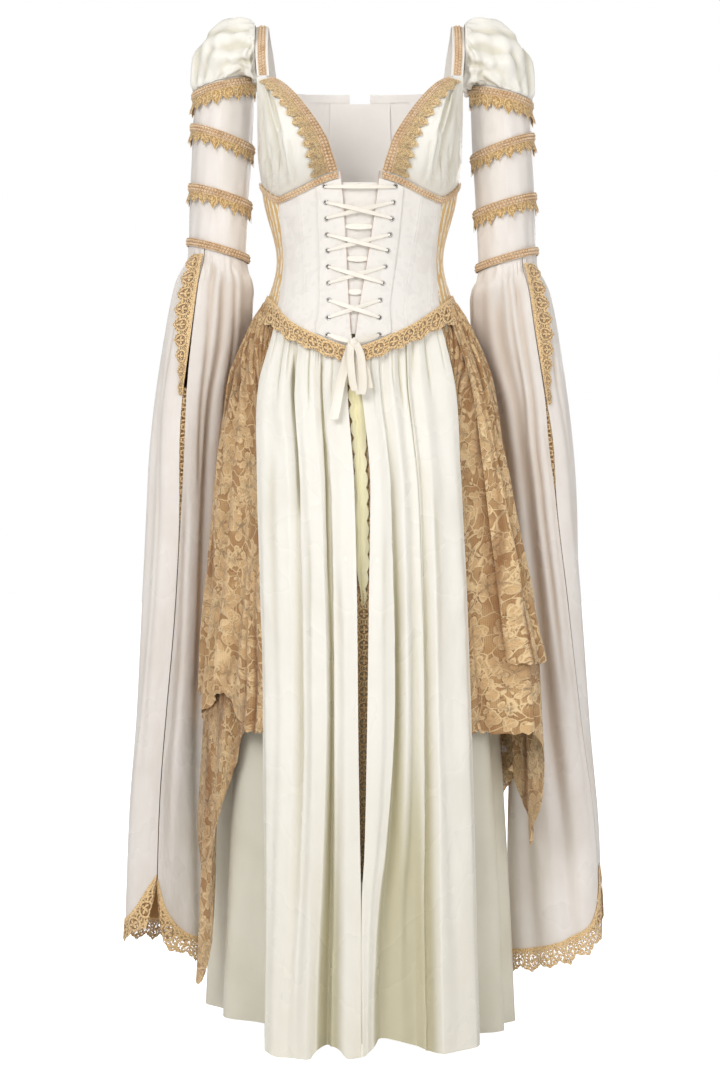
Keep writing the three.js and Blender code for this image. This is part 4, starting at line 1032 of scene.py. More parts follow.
for side in allSides:
    makeCloth("cup_cloth", "cup", lambda u, v: cupPoint(u, 1 - v), cups["grid"], ivorySatin, side, fine=cupFine,
              shade=cupShade, lining=clothBack)
    laceWidth = lambda u, place: 9.0 + mix(*laceShape["depth"], teeth(place, laceShape["points"], 4))
    makeCloth("neck_lace_cloth", "neck_lace", neckForm(laceWidth, 2.2, 6.0), (10, 240), neckLaceCloth, side, thick=0.6,
              pattern=lambda u, v, along, down: (down / 19, 0.15 + u))
    makeCloth("neck_tape", "neck_lace", neckForm(lambda u, place: 10.6, 2.3, 0.8), (4, 60), braidTapeShade, side, thick=0.5)
    braidPiece("neck_braid", "neck_lace", side, neckForm(lambda u, place: 11.0, 2.6, 0.5), False, 11.0, 195)
    under = lambda u, v: bodyPoint(mix(12.5, 87, u), underbustZ(mix(12.5, 87, u)) - 0.8 - 8.4 * v, 1.9)
    makeCloth("underbust_tape", "underbust_braid", under, (80, 4), braidTapeShade, side, thick=0.6)
    braidPiece("underbust_plait", "underbust_braid", side, under, True, 9.0, 165)
print("cups ready")


# Straps, puffed shoulders and straight sleeves

strapRows = [
    (0, 133.2, -65.5, -81, 8.6, 14), (0.18, 135.5, -58, -52, 8.6, 10), (0.38, 136.2, -34, -18, 8.6, 4),
    (0.52, 136.2, 0, -0.2, 8.6, 0), (0.66, 135, 20, -14, 9.5, -20), (0.82, 129, 34, -47, 11.5, -50),
    (1, 120.8, 38.6, -87, 12, -66),
]
armTop = {"x": 190, "y": 4, "z": -80, "radius": 43, "tilt": -11}
elbow = {"x": 200, "y": 20, "z": -316, "radius": 41.5, "tilt": 12}
puffStart = {"x": 145.4, "y": 0, "z": -35, "up": 37.5, "deep": 50}


def strapPoint(across, v, out=0.0):
    x, y, z, half, turn = readTable(strapRows, v)
    after, before = readTable(strapRows, np.clip(v + 1e-3, 0, 1)), readTable(strapRows, np.clip(v - 1e-3, 0, 1))
    widthWay = vectors(cosine(turn), sine(turn), 0)
    along = vectors(after[0] - before[0], after[1] - before[1], after[2] - before[2])
    outward = unit(np.cross(widthWay, along))
    return vectors(x, y, z) + widthWay * (across * half)[..., None] + outward * out


def sleevePoint(turn, share, values, out=0.0):
    outer = sine(turn)
    radius = mix(armTop["radius"], elbow["radius"], share) + out
    tilt = mix(armTop["tilt"], elbow["tilt"], ramp(share, 0, 0.35))
    return vectors(mix(armTop["x"], elbow["x"], share) + values["spread"] + radius * outer,
                   mix(armTop["y"], elbow["y"], share) - radius * cosine(turn),
                   mix(armTop["z"], elbow["z"], share) - values["drop"] + tilt * outer)


def puffPoint(turn, v, values):
    bend = 90 * v
    outer = sine(turn)
    wayX, wayZ = sine(bend), cosine(bend)
    swell = np.maximum(0, np.sin(np.pi * v)) ** 0.8
    outside = (1 + outer) / 2
    full = mix(puffStart["up"], armTop["radius"], v) + swell * mix(-5, 27 + values["drop"] * 0.3, outside)
    gather = cosine(10 * turn) * mix(2.4, 0.8, swell) * ramp(v, 0, 0.1) * ramp(v, 1, 0.93)
    deep = mix(puffStart["deep"], armTop["radius"], v) + 10 * swell + gather
    reach = (full + gather * ramp(outside, 0.15, 0.5)) * outer
    return vectors(mix(puffStart["x"], armTop["x"] + values["spread"], v) + reach * wayX,
                   mix(puffStart["y"], armTop["y"], v) - deep * cosine(turn),
                   mix(puffStart["z"], armTop["z"] - values["drop"], v) + reach * wayZ
                   + armTop["tilt"] * outer * ramp(v, 0.6, 1))


puffCreases = [  # round the puff, with its front at 0.5 and its outer side at 0.75
    (0.42, 0.5, 0.02, 0.55, 0.02, -4.2), (0.35, 0.41, 0.02, 0.48, 0.016, -3.6),
    (0.5, 0.61, 0.03, 0.62, 0.024, -4.4), (0.59, 0.72, 0.04, 0.72, 0.03, -4.2), (0.46, 0.44, 0.52, 1, 0.018, -3.8),
    (0.54, 0.53, 0.6, 1, 0.014, -3.2), (0.62, 0.6, 0.56, 1, 0.018, -3.8), (0.38, 0.37, 0.58, 1, 0.014, -3.2),
    (0.7, 0.67, 0.5, 1, 0.02, -3.8), (0.78, 0.76, 0.55, 1, 0.018, -3.2), (0.15, 0.22, 0.02, 0.6, 0.022, -3.8),
    (0.92, 0.85, 0.02, 0.6, 0.022, -3.8), (0.1, 0.11, 0.55, 1, 0.018, -3.4), (0.24, 0.22, 0.58, 1, 0.016, -3.4),
    (0.9, 0.92, 0.6, 1, 0.018, -3.4), (0.27, 0.31, 0.03, 0.45, 0.018, -3.2), (0.31, 0.3, 0.55, 1, 0.014, -3),
    (0.47, 0.52, 0.3, 0.75, 0.016, -2.4),
]


def puffShade(u, v):
    return 0.5 * ramp(-creased((u + 0.5) % 1, v, puffCreases), 0.8, 4.5)


puffWaves = [(2.4, 4, 1.3, 0), (1.9, 7, -2.1, 1), (1.1, 13, 2.9, 2)]
sleeveWaves = [(0.9, 3, 0.6 / np.pi, 1.1), (0.6, 7, 0.8, 0), (0.3, 13, -1.3, 0.4)]


def waves(u, v, rows):  # rows of height, waves around, waves down, and where the first one starts
    return sum(high * np.sin(2 * np.pi * (around * u + down * v) + start) for high, around, down, start in rows)


def puffFine(u, v):
    wave = 44 * u + 1.5 * softNoise(u * 8, v * 2, 31)
    gathers = 2.3 * np.sin(2 * np.pi * wave / 2.0) * (ramp(v, 0.6, 0.97) + 0.8 * ramp(v, 0.4, 0.05))
    broad = waves(u, v, puffWaves) * np.sin(np.pi * v)
    strength = 0.6 + 0.4 * np.sin(2 * np.pi * 7 * u + 0.7)
    folds = gathers * strength + 1.25 * broad + creased((u + 0.5) % 1, v, puffCreases)
    return folds * ramp(v, 0, 0.06) * ramp(v, 1, 0.97) - 0.2


def upperFine(u, v):
    soft = waves(u, v, sleeveWaves)
    puckers = 0.5 * np.sin(2 * np.pi * 31 * u + np.sin(2 * np.pi * 5 * u)) * (ramp(v, 0.93, 1.0) + ramp(v, 0.06, 0.0))
    return (soft + puckers) * ramp(v, 0, 0.02) * ramp(v, 1, 0.98) - 1.2


bands = {
    "top": {"share": 0.03, "tilt": 0, "braid": 10, "points": 17},
    "middle": {"share": 0.3, "tilt": 5, "braid": 11, "points": 18},
    "low": {"share": 0.64, "tilt": 1, "braid": 11, "points": 18},
}


def bandForm(band, values, fallOf, out):
    def form(u, v):
        turn = 360 * u
        outer = sine(turn)
        fall = fallOf(u, v)
        stand = out + 5 * ((1 + outer) / 2) ** 2 * ramp(fall, band["braid"] * 0.8, band["braid"] + band["points"])
        point = sleevePoint(turn, band["share"], values, stand)
        point[..., 2] += band["tilt"] * outer - fall
        return point
    return form


for side in allSides:
    values = sleeveSides[side]
    makeCloth("strap_cloth", "strap", lambda u, v: strapPoint(1 - 2 * u, 0.985 * v), (8, 70), jacquard, side,
              fine=lambda u, v: 0.2 * softNoise(u * 3, v * 14, 35))
    strapTop = lambda u, v: strapPoint((1 - 2 * u) * 0.62, 0.01 + 0.975 * v, 0.6)
    makeCloth("strap_tape", "strap_braid", strapTop, (4, 60), braidTapeShade, side, thick=0.5)
    braidPiece("strap_plait", "strap_braid", side, strapTop, False, 10.6, 180)
    makeCloth("puff", "puff_sleeve", lambda u, v: puffPoint(360 * u, v, values), (176, 60), ivorySatin, side,
              ring=True, fine=puffFine, shade=puffShade)
    makeCloth("upper", "upper_sleeve", lambda u, v: sleevePoint(360 * u, mix(0.002, 0.998, v), values), (120, 80),
              sleeveSatin, side, ring=True, fine=upperFine)
    for label, band in bands.items():
        node, wide = f"{label}_lace_band", band["braid"]
        rise = 4.5 if label == "top" else 0.0  # the top braid covers the foot of the puff
        fall = lambda u, v: wide * 0.8 - rise + (band["points"] * mix(0.38, 1.0, teeth(u, 18, 3)) + 2 + rise) * v
        makeCloth(f"{label}_points", node, bandForm(band, values, fall, 1.6), (324, 8), pointLace, side, ring=True,
                  thick=0.6, pattern=crossways(15, 0.2, 0.75))
        tape = bandForm(band, values, lambda u, v: 0.5 - rise + (wide - 1) * v, 1.7)
        makeCloth(f"{label}_tape", node, tape, (90, 3), braidTapeShade, side, ring=True, thick=0.5)
        loops = bandForm(band, values, lambda u, v: wide * v - rise, 2.0)
        braidPiece(f"{label}_plait", node, side, loops, True, wide, 290)

    def elbowForm(u, v, grow=2.2, wide=11):
        point = sleevePoint(360 * u, 0.97, values, grow)
        point[..., 2] += 3 - wide * v
        return point

    makeCloth("elbow_tape", "elbow_braid", lambda u, v: elbowForm(u, v, 1.9), (90, 3), braidTapeShade, side, ring=True,
              thick=0.5)
    braidPiece("elbow_plait", "elbow_braid", side, elbowForm, True, 11, 280)
print("upper sleeves ready")


# Bell sleeves, open down their front

bellRows = [
    (-316, 200, 20, 41.5, 41.5, 10), (-334, 201, 21, 49, 47, 10), (-366, 205, 27, 57, 49, 18),
    (-440, 216, 42, 66, 48, 30), (-520, 235, 50, 60, 46, 34), (-600, 246, 56, 58, 46, 36),
    (-700, 253, 60, 57, 46, 36), (-960, 262, 66, 62, 48, 34), (-1100, 266, 70, 71, 50, 32),
    (-1300, 267, 70, 77, 54, 30),
]
bellHemRows = [
    (0, -1190), (0.035, -1214), (0.08, -1242), (0.13, -1258), (0.22, -1264), (0.5, -1270), (0.8, -1278),
    (0.9, -1270), (0.95, -1252), (0.98, -1228), (1, -1196),
]
bellValleys = [
    (0.9, 0.84, 0.03, 9), (0.8, 0.7, 0.035, 8), (0.14, 0.2, 0.04, 7), (0.36, 0.36, 0.05, 9), (0.58, 0.55, 0.05, 8),
]
openingRows = [  # height, then degrees from the front towards the outer side on the left and on the right
    (-316, 28, 24), (-440, 17, 12), (-640, 14, -4), (-800, 27, -4), (-975, 43, 4), (-1110, 55, 6), (-1300, 76, 8),
]
bell = {"gap": 7, "closed": 1.2, "openAt": -570, "openSpan": {"left": 50, "right": 95}, "gathers": 12,
        "foot": -1260, "hem": -1300, "grid": (150, 120)}


def bellTurn(t, level, long, short, side):
    start = readTable(openingRows, level)[0 if side == "left" else 1]
    wide = mix(bell["closed"], bell["gap"], bump(level, bell["openAt"], bell["openSpan"][side]))
    gap = wide / (np.pi * (long + short)) * 360
    return start + gap / 2 + t * (360 - gap)


def bellPoint(t, z, side, out=0.0):
    values = sleeveSides[side]
    level = z + values["drop"]
    x, y, long, short, turned = readTable(bellRows, level)
    fall = within(level, elbow["z"], bell["foot"])
    push = np.asarray(out, float) + np.zeros_like(t)
    for top, hem, width, depth in bellValleys:
        push = push - depth * ramp(fall, 0.02, 0.3) * bump(t, mix(top, hem, fall), width)
    push = push + 1.8 * np.cos(2 * np.pi * bell["gathers"] * t) * ramp(fall, 0.004, 0.02) * ramp(fall, 0.16, 0.04)
    around = np.radians(bellTurn(t, level, long, short, side) + turned)
    far, near = (long + push) * np.sin(around), -(short + push) * np.cos(around)
    c, s = cosine(turned), sine(turned)
    return vectors(x + values["spread"] + far * c + near * s, y + near * c - far * s, z)


def bellHem(t, side):
    x, y, long, short, turned = readTable(bellRows, bell["hem"])
    turn = bellTurn(np.clip(t, 0, 1), bell["hem"], long, short, side)
    values = sleeveSides[side]
    return readTable(bellHemRows, np.clip(t, 0, 1))[0] + values["hemTilt"] * sine(turn) - values["drop"] * 0.5


def bellTop(t, side):
    turn = bellTurn(t, elbow["z"], elbow["radius"], elbow["radius"], side)
    return elbow["z"] - 3 * seam - sleeveSides[side]["drop"] + elbow["tilt"] * sine(turn)


def bellForm(side):
    def form(u, v):
        z = mix(bellTop(u, side), bellHem(u, side), v**1.25)
        level = mix(z, elbow["z"] - sleeveSides[side]["drop"] + 0 * z, ramp(v, 0.10, 0))
        point = bellPoint(u, level, side)
        point[..., 2] = z
        return point
    return form


bellCreases = {  # round the bell from the opening's outer edge: where each soft trough starts and ends
    "left": [
        (0.955, 0.93, 0.03, 0.75, 0.014, -5), (0.93, 0.9, 0.02, 0.35, 0.01, -3.5),
        (0.875, 0.86, 0.05, 0.95, 0.02, -4), (0.1, 0.07, 0.02, 0.3, 0.012, -3), (0.06, 0.11, 0.1, 0.6, 0.02, -2.2),
        (0.2, 0.3, 0.04, 0.7, 0.02, -3.5), (0.7, 0.66, 0.03, 0.55, 0.02, -3.5), (0.5, 0.47, 0.05, 0.8, 0.025, -4),
        (0.42, 0.45, 0.1, 0.9, 0.02, -3), (0.985, 0.975, 0.3, 0.95, 0.01, -2.2), (0.62, 0.6, 0.02, 0.3, 0.012, -3),
        (0.28, 0.24, 0.5, 1, 0.02, -3),
    ],
    "right": [
        (0.95, 0.92, 0.02, 0.45, 0.013, -5), (0.9, 0.875, 0.04, 0.7, 0.014, -4.5),
        (0.86, 0.8, 0.02, 0.4, 0.012, -4), (0.08, 0.12, 0.02, 0.35, 0.014, -3), (0.12, 0.09, 0.3, 0.9, 0.02, -2.4),
        (0.22, 0.28, 0.05, 0.65, 0.02, -3.5), (0.975, 0.96, 0.45, 0.95, 0.012, -2.4),
        (0.68, 0.64, 0.03, 0.6, 0.02, -3.5), (0.52, 0.5, 0.05, 0.85, 0.025, -4), (0.4, 0.43, 0.15, 0.95, 0.02, -3),
        (0.6, 0.62, 0.02, 0.3, 0.012, -3), (0.32, 0.3, 0.5, 1, 0.02, -2.6),
    ],
}


def bellFine(side):
    def fine(u, v):
        uneven = 30 * u + 0.8 * np.sin(2 * np.pi * 4 * u + 1.3)
        strength = 0.55 + 0.45 * np.sin(2 * np.pi * 7.3 * u)
        gathers = 1.5 * wave(uneven) * strength * ramp(v, 0.0, 0.012) * ramp(v, 0.16, 0.02)
        drift = 1.1 * softNoise(u * 9 + 0.8 * v, v * 3, 41) + 0.7 * softNoise(u * 21 + 2 * v, v * 5, 42)
        slant = 0.8 * softNoise(u * 14 - 6 * v, v * 7 + 3 * u, 43) * ramp(v, 0.45, 0.9)
        folds = creased(u, v, bellCreases[side])
        hold = ramp(v, 0, 0.01) * ramp(v, 1.0, 0.985) * ramp(u, 0, 0.02) * ramp(u, 1, 0.98)
        return (gathers + (drift + slant) * ramp(v, 0.02, 0.15) + folds) * hold - 0.5
    return fine


def bellShade(side):  # painted shade in the hollows, and painted shade with a warm painted reflection on the side that lies against the skirt
    def shade(u, v):
        inner = 0.2 * ramp(u, 0.95, 0.85) * ramp(u, 0.66, 0.76) * ramp(v, 0.04, 0.16) * ramp(v, 0.75, 0.35)
        return np.clip(0.42 * ramp(-creased(u, v, bellCreases[side]), 0.8, 5) + inner, 0, 1)
    return shade


hemLace = {"scallops": 17, "width": 33, "perimeter": 400}
frontLace = {"scallops": 9, "length": 190, "width": (30, 7), "perimeter": 320}


def hemLaceForm(side):
    def form(u, v):
        step = 0.01
        rise = bellHem(u + step, side) - bellHem(u - step, side)
        run = (np.minimum(1, u + step) - np.maximum(0, u - step)) * hemLace["perimeter"]
        length = np.hypot(rise, run)
        edge = mix(0.70, 1.0, teeth(u, hemLace["scallops"], 3.0))
        fall = -1.0 + (hemLace["width"] * edge + 1.0) * v
        sway = np.clip(rise / length, -0.75, 0.75)
        t = u + sway * fall / hemLace["perimeter"]
        t = np.minimum(np.maximum(t, 0.3 * u), 1 - 0.3 * (1 - u))
        return bellPoint(t, bellHem(u, side) - run / length * fall, side, 1.4 + v)
    return form


def frontLaceForm(side):
    def form(u, v):
        z = elbow["z"] - sleeveSides[side]["drop"] - mix(6, 12, v) - frontLace["length"] * v + elbow["tilt"] * 0.2
        edge = mix(0.72, 1.0, teeth(v, frontLace["scallops"], 3.0))
        width = mix(frontLace["width"][0], frontLace["width"][1], ramp(v, 0.35, 1)) * edge
        return bellPoint(width * u / frontLace["perimeter"] - 0.002, z, side, 2.3)
    return form


for side in allSides:
    makeCloth("bell", "bell_sleeve", bellForm(side), bell["grid"], sleeveSatin, side, fine=bellFine(side),
              shade=bellShade(side), lining=goldLining)
    makeCloth("bell_hem", "bell_hem_lace", hemLaceForm(side), (320, 12), crochetLace, side, thick=0.7,
              pattern=crossways(24, 0, 1.05))
    makeCloth("bell_front", "bell_front_lace", frontLaceForm(side), (12, 220), crochetLace, side, thick=0.7,
              pattern=lengthways(9, 0, 1.05))
for side in allSides:  # the lace goes on down inside the opening
    inside = lambda u, v: bellPoint(mix(-0.035, 0.03, u), mix(-505, -760, v) + 0 * u, side, -3.0)
    makeCloth("bell_slit", "bell_front_lace", inside, (8, 60), crochetLace, side, thick=0.6,
              pattern=lengthways(14, 0.2, 0.7))
print("bell sleeves ready")


# Skirt

skirt = {"hem": -1380, "tilt": 12, "folds": 12, "frontHem": -1396, "grid": (130, 150)}
panelFolds = {  # share of the width at the waist, half-way and at the hem, then how far back the line lies at each
    "left": [
        (0, 0, 0, 0, 2, 8), (0.1, 0.13, 0.04, 0, 0, 4), (0.19, 0.26, 0.09, 2, 6, 10), (0.24, 0.29, 0.18, 7, 22, 34),
        (0.34, 0.38, 0.36, 0, 6, 30), (0.45, 0.47, 0.5, 6, 12, 34), (0.52, 0.54, 0.57, 1, 8, 22),
        (0.59, 0.59, 0.6, 6, 17, 26), (0.68, 0.66, 0.66, 0, 1, 2), (0.8, 0.8, 0.8, 3, 5, 5),
        (0.92, 0.93, 0.93, 0, 2, 3), (1, 1, 1, 0, 7, 10),
    ],
    "right": [
        (0, 0, 0, 0, 2, 9), (0.12, 0.12, 0.16, 0, 0, 4), (0.22, 0.24, 0.32, 2, 6, 22),
        (0.28, 0.275, 0.39, 7, 20, 36), (0.36, 0.32, 0.46, 0, 5, 12), (0.46, 0.45, 0.55, 2, 1, 1),
        (0.55, 0.55, 0.66, 4, 7, 4), (0.6, 0.6, 0.73, 9, 14, 6), (0.68, 0.67, 0.8, 1, 4, 3),
        (0.8, 0.8, 0.87, 3, 1, 1), (0.92, 0.93, 0.95, 0, 2, 4), (1, 1, 1, 0, 7, 12),
    ],
}
panelEdges = {  # height, inner edge and outer edge from the centre line
    "left": [
        (-405, 6, 106), (-500, 10, 131), (-620, 14, 139), (-800, 12, 150), (-1000, 9, 157), (-1130, 6, 161),
        (-1200, 2.2, 163), (-1400, 3, 168),
    ],
    "right": [
        (-405, 6, 106), (-500, 9, 139), (-620, 8, 143), (-800, 4, 139), (-1000, 2, 135), (-1200, -1.4, 133),
        (-1400, -2.4, 134),
    ],
}
panelCreases = {  # short gathers under the waist, and the long soft troughs beside the main pleats
    "left": [
        (0.1, 0.12, 0, 0.1, 0.01, -1.8), (0.22, 0.26, 0, 0.35, 0.01, -4), (0.36, 0.38, 0, 0.09, 0.009, -2.2),
        (0.44, 0.46, 0, 0.13, 0.01, -2.6), (0.53, 0.57, 0, 0.45, 0.014, -5), (0.66, 0.65, 0, 0.08, 0.01, -1.8),
        (0.8, 0.8, 0, 0.12, 0.012, -2.2), (0.92, 0.92, 0, 0.09, 0.01, -1.6), (0.46, 0.4, 0.45, 0.98, 0.03, -2),
        (0.74, 0.8, 0.25, 0.95, 0.03, -1.8), (0.12, 0.13, 0.3, 0.9, 0.025, -1.4),
    ],
    "right": [
        (0.12, 0.13, 0, 0.1, 0.01, -2), (0.26, 0.3, 0, 0.42, 0.011, -4.6), (0.4, 0.41, 0, 0.12, 0.009, -2.6),
        (0.62, 0.605, 0.035, 0.3, 0.02, -13), (0.7, 0.69, 0, 0.08, 0.01, -1.8), (0.8, 0.78, 0, 0.12, 0.012, -2.4),
        (0.9, 0.9, 0, 0.07, 0.01, -1.6), (0.14, 0.18, 0.35, 0.98, 0.03, -1.8), (0.48, 0.56, 0.3, 1, 0.03, -1.8),
        (0.84, 0.86, 0.2, 0.9, 0.03, -1.6),
    ],
}
panelHems = {  # how far the hem is lifted, by the share of the panel's width
    "left": [(0, 0), (0.08, 9), (0.16, 19), (0.3, 17), (0.5, 8), (0.57, 3), (0.64, 0), (1, 3)],
    "right": [(0, 0), (0.14, -1), (0.24, 9), (0.4, 10), (0.47, 4), (0.52, -7), (0.66, -11), (0.85, -3), (1, 4)],
}


def foldAt(rows, u, fall):
    table = np.array(rows, float)
    place = np.clip(u * (len(rows) - 1), 0, len(rows) - 1 - 1e-9)
    i = np.floor(place).astype(int)
    t = place - i
    k = np.where(fall < 0.5, smooth(fall * 2), smooth(fall * 2 - 1))

    def pick(j, first):
        low, middle, high = (table[j, first + step] for step in range(3))
        return np.where(fall < 0.5, mix(low, middle, k), mix(middle, high, k))

    return mix(pick(i, 0), pick(i + 1, 0), t), mix(pick(i, 3), pick(i + 1, 3), smooth(t))


def panelForm(side):
    def form(u, v):
        fall = v**1.1
        share, depth = foldAt(panelFolds[side], u, fall)
        topAngle = mix(2.6, 49.5, share)
        hem = skirt["frontHem"] + readTable(panelHems[side], np.clip(share, 0, 1))[0]
        z = mix(waistZ(topAngle) - seam, hem, fall)
        inner, outer = readTable(panelEdges[side], z)
        angle = mix(topAngle, angleOf(mix(inner, outer, share), z), ramp(fall, 0, 0.1))
        return bodyPoint(angle, z, -depth * ramp(fall, 0.005, 0.03))
    return form


def panelFine(side):
    def fine(u, v):
        uneven = 24 * u + 0.9 * np.sin(2 * np.pi * 2.6 * u + 0.9)
        strength = 0.5 + 0.5 * softNoise(u * 9, 0.5, 51)
        gathers = 0.9 * wave(uneven) * strength * ramp(v, 0.0, 0.01) * ramp(v, 0.07, 0.012)
        drift = 0.9 * softNoise(u * 4 + v, v * 3, 52)
        crumple = 0.35 * softNoise(u * 11 - 3 * v, v * 30 + 6 * u, 54)
        crumple = crumple + 0.25 * softNoise(u * 23 + 5 * v, v * 52 - 7 * u, 55)
        busy = ramp(softNoise(u * 3, v * 5, 56), -0.2, 0.5)
        hold = ramp(v, 0, 0.008) * ramp(u, 0, 0.03) * ramp(u, 1, 0.97)
        loose = (drift + crumple * (0.3 + 0.9 * busy)) * ramp(v, 0.02, 0.12)
        return (gathers + loose + creased(u, v, panelCreases[side])) * hold - 0.3
    return fine


def panelShade(side):
    # painted shade in the pleats and creases, more of it towards the hem, and a dark painted shadow in the deep slit
    def shade(u, v):
        _, depth = foldAt(panelFolds[side], u, v**1.1)
        pleats = ramp(depth, 5, 22) * mix(0.95, 0.75, ramp(v, 0.6, 1.0)) + 0.18 * ramp(v, 0.4, 0.95)
        sunk = -creased(u, v, panelCreases[side])
        return np.clip(pleats + np.clip(sunk / 4.0, 0, 1) * ramp(v, 0.6, 0.3), 0, 1) + 0.8 * ramp(sunk, 5.5, 10)
    return shade


def underskirtPoint(turn, share):
    angle = np.where(turn > 180, turn - 360, turn)
    spotAngle = np.abs(angle)
    z = mix(waistZ(spotAngle) + 5, skirt["hem"] - skirt["tilt"] * sine(angle), share**1.15)
    seat = bodyPoint(angle, z, -3.1)
    half, front, back = readTable(underRows, z)
    loose = ramp(z, waistZ(spotAngle) + 1, waistZ(spotAngle) - 70)
    depth = mix(2.5, 1.0, ramp(spotAngle, 55, 20)) + 9 * ramp(z, -460, -1300) * ramp(spotAngle, 30, 60)
    fold = depth * np.cos(np.radians(skirt["folds"] * angle) + 0.9 * np.sin(np.radians(3 * angle) + 0.6))
    deep = np.where(cosine(angle) > 0, front, back) + fold
    return mix(seat, vectors((half + fold) * sine(angle), -deep * cosine(angle), z), loose[..., None])


def underFine(u, v):
    drift = 1.2 * softNoise(u * 11 + v, v * 4, 61) + 0.6 * softNoise(u * 25, v * 8, 62)
    waist = 1.2 * np.sin(2 * np.pi * 26 * u) * ramp(v, 0.02, 0.05) * ramp(v, 0.18, 0.06)
    return (drift * ramp(v, 0.05, 0.2) + waist) * ramp(u, 0, 0.02) * ramp(u, 1, 0.98) - 0.6


laceHemRows = {
    "left": [
        (36, -968), (56, -975), (62, -885), (76, -882), (82, -960), (94, -1000), (106, -1050), (116, -1140),
        (128, -1040), (146, -1000), (164, -1120), (180, -1060),
    ],
    "right": [
        (36, -958), (50, -965), (57, -1040), (63, -1170), (69, -1318), (76, -1270), (84, -1040), (96, -956),
        (112, -1060), (128, -1130), (146, -1010), (164, -1120), (180, -1060),
    ],
}
lowHemRows = {  # the under tier, which hangs below the front one
    "left": [
        (36, -968), (56, -978), (66, -980), (70, -1000), (74, -1085), (79, -1136), (85, -1080), (92, -1034),
        (106, -1060), (116, -1140), (128, -1040), (146, -1000), (164, -1120), (180, -1060),
    ],
    "right": laceHemRows["right"],
}
upperHemRows = {  # the front tier
    "left": [(57, -884), (66, -882), (78, -884), (86, -890), (96, -930), (110, -900)],
    "right": [
        (36, -974), (48, -972), (53, -960), (58, -925), (66, -935), (73, -952), (80, -930), (96, -900), (110, -880),
    ],
}
overskirt = {"folds": 12, "flare": {"left": 50, "right": 0}, "grid": (170, 120), "measured": 0.6,
             "pattern": {"left": 0.0, "right": 3.71}}
tiers = {  # the angles that the front tier spans, its inner edge lower down, the painted shadow that the sleeve casts on it, and its place in the pattern
    "left": {"span": (57.5, 108.0), "low": 58.5, "sleeve_shadow": 0.0, "pattern": 1.23},
    "right": {"span": (50.2, 108.0), "low": 38.2, "sleeve_shadow": 0.15, "pattern": 5.37},
    "lift": 4.5, "grid": (90, 110), "share": 0.45,
}


def overskirtPoint(u, v, side, hem=None, start=50.2, end=179.7, low=38.0, out=0.0):
    fallShare = v**1.2
    angle = mix(mix(start, low, ramp(fallShare, 0.02, 0.3)), end, u)
    top = waistZ(mix(start, end, u)) - 3 * seam
    edge = readTable(hem or lowHemRows[side], angle)[0]
    z = mix(top, edge - 5 * np.abs(np.sin(1.15 * angle + 2 * np.sin(0.31 * angle))) * ramp(v, 0.8, 1), fallShare)
    loose = ramp(z, top - 8, top - 160)
    tuck = -(1.9 + 4 * ramp(z, top - 4, top - 20) + 9 * ramp(z, -430, -620)) * ramp(angle, 60, 55)
    flare = overskirt["flare"][side] * bump(angle, 66, 14) * within(z, -440, -880) ** 1.3 * ramp(angle, 55, 63)
    fold = mix(1.2, 6.5, loose) * cosine((360 / 130) * overskirt["folds"] * (angle - 50)) * ramp(z, top - 2, top - 24)
    fold = fold * mix(1, ramp(u, 1, 0.96), np.where(end > 170, 1, 0)) * ramp(angle, 56, 64)
    return bodyPoint(angle, z, tuck + flare + fold + out * (ramp(v, 0, 0.03) + 0.8 * ramp(v, 0.6, 1)))


def laceLay(level, start):  # the lace's own width, measured at one level; it is gathered above and spread below
    def lay(u, v, along, down):
        row = int(level * (along.shape[1] - 1))
        return start + along[:, row:row + 1] / 1000 + 0 * v, -down / 1000
    return lay


def laceFolds(u, v):  # narrow gathered folds that spread and run together lower down
    wander = 1.1 * softNoise(u * 7, v * 2.2, 71) + 0.5 * softNoise(u * 17, v * 4, 72)
    narrow = wave(44 * u + wander) * ramp(v, 0.0, 0.02) * ramp(v, 0.55, 0.1)
    broad = wave(21 * u + wander + 0.3) * ramp(v, 0.06, 0.3)
    return 1.8 * narrow, 4.2 * broad * (0.6 + 0.5 * softNoise(u * 9 + 1, v * 2, 73))


def overskirtFine(u, v):
    narrow, broad = laceFolds(u, v)
    flutter = 0.9 * softNoise(u * 40 + 2 * v, v * 9, 74) * ramp(v, 0.05, 0.2)
    return (narrow + broad + flutter) * ramp(u, 0, 0.03) * ramp(u, 1, 0.97) * ramp(v, 0, 0.01) - 0.5


def tierShade(side):  # painted shade in the folds, painted shadow on the under tier just below the front one's hem, and painted shadow of the sleeve on the right side
    def shade(u, v):
        angle = mix(mix(50.2, 38, ramp(v**1.2, 0.02, 0.3)), 179.7, u)
        upper = readTable(upperHemRows[side], angle)[0]
        z = overskirtPoint(u, v, side)[..., 2]
        covered = ramp(z, upper - 40, upper - 4) * (angle < 108) * (1 if side == "right" else ramp(angle, 56, 59))
        # the right side also gets painted shadow from the sleeve
        return np.clip(overskirtShade(u, v) + 0.5 * covered + (0.12 if side == "right" else 0), 0, 1)
    return shade


def overskirtShade(u, v):
    narrow, broad = laceFolds(u, v)
    return np.clip(0.8 * ramp(-narrow, 0.2, 1.6) + 0.95 * ramp(-broad, 0.5, 3.6), 0, 1)


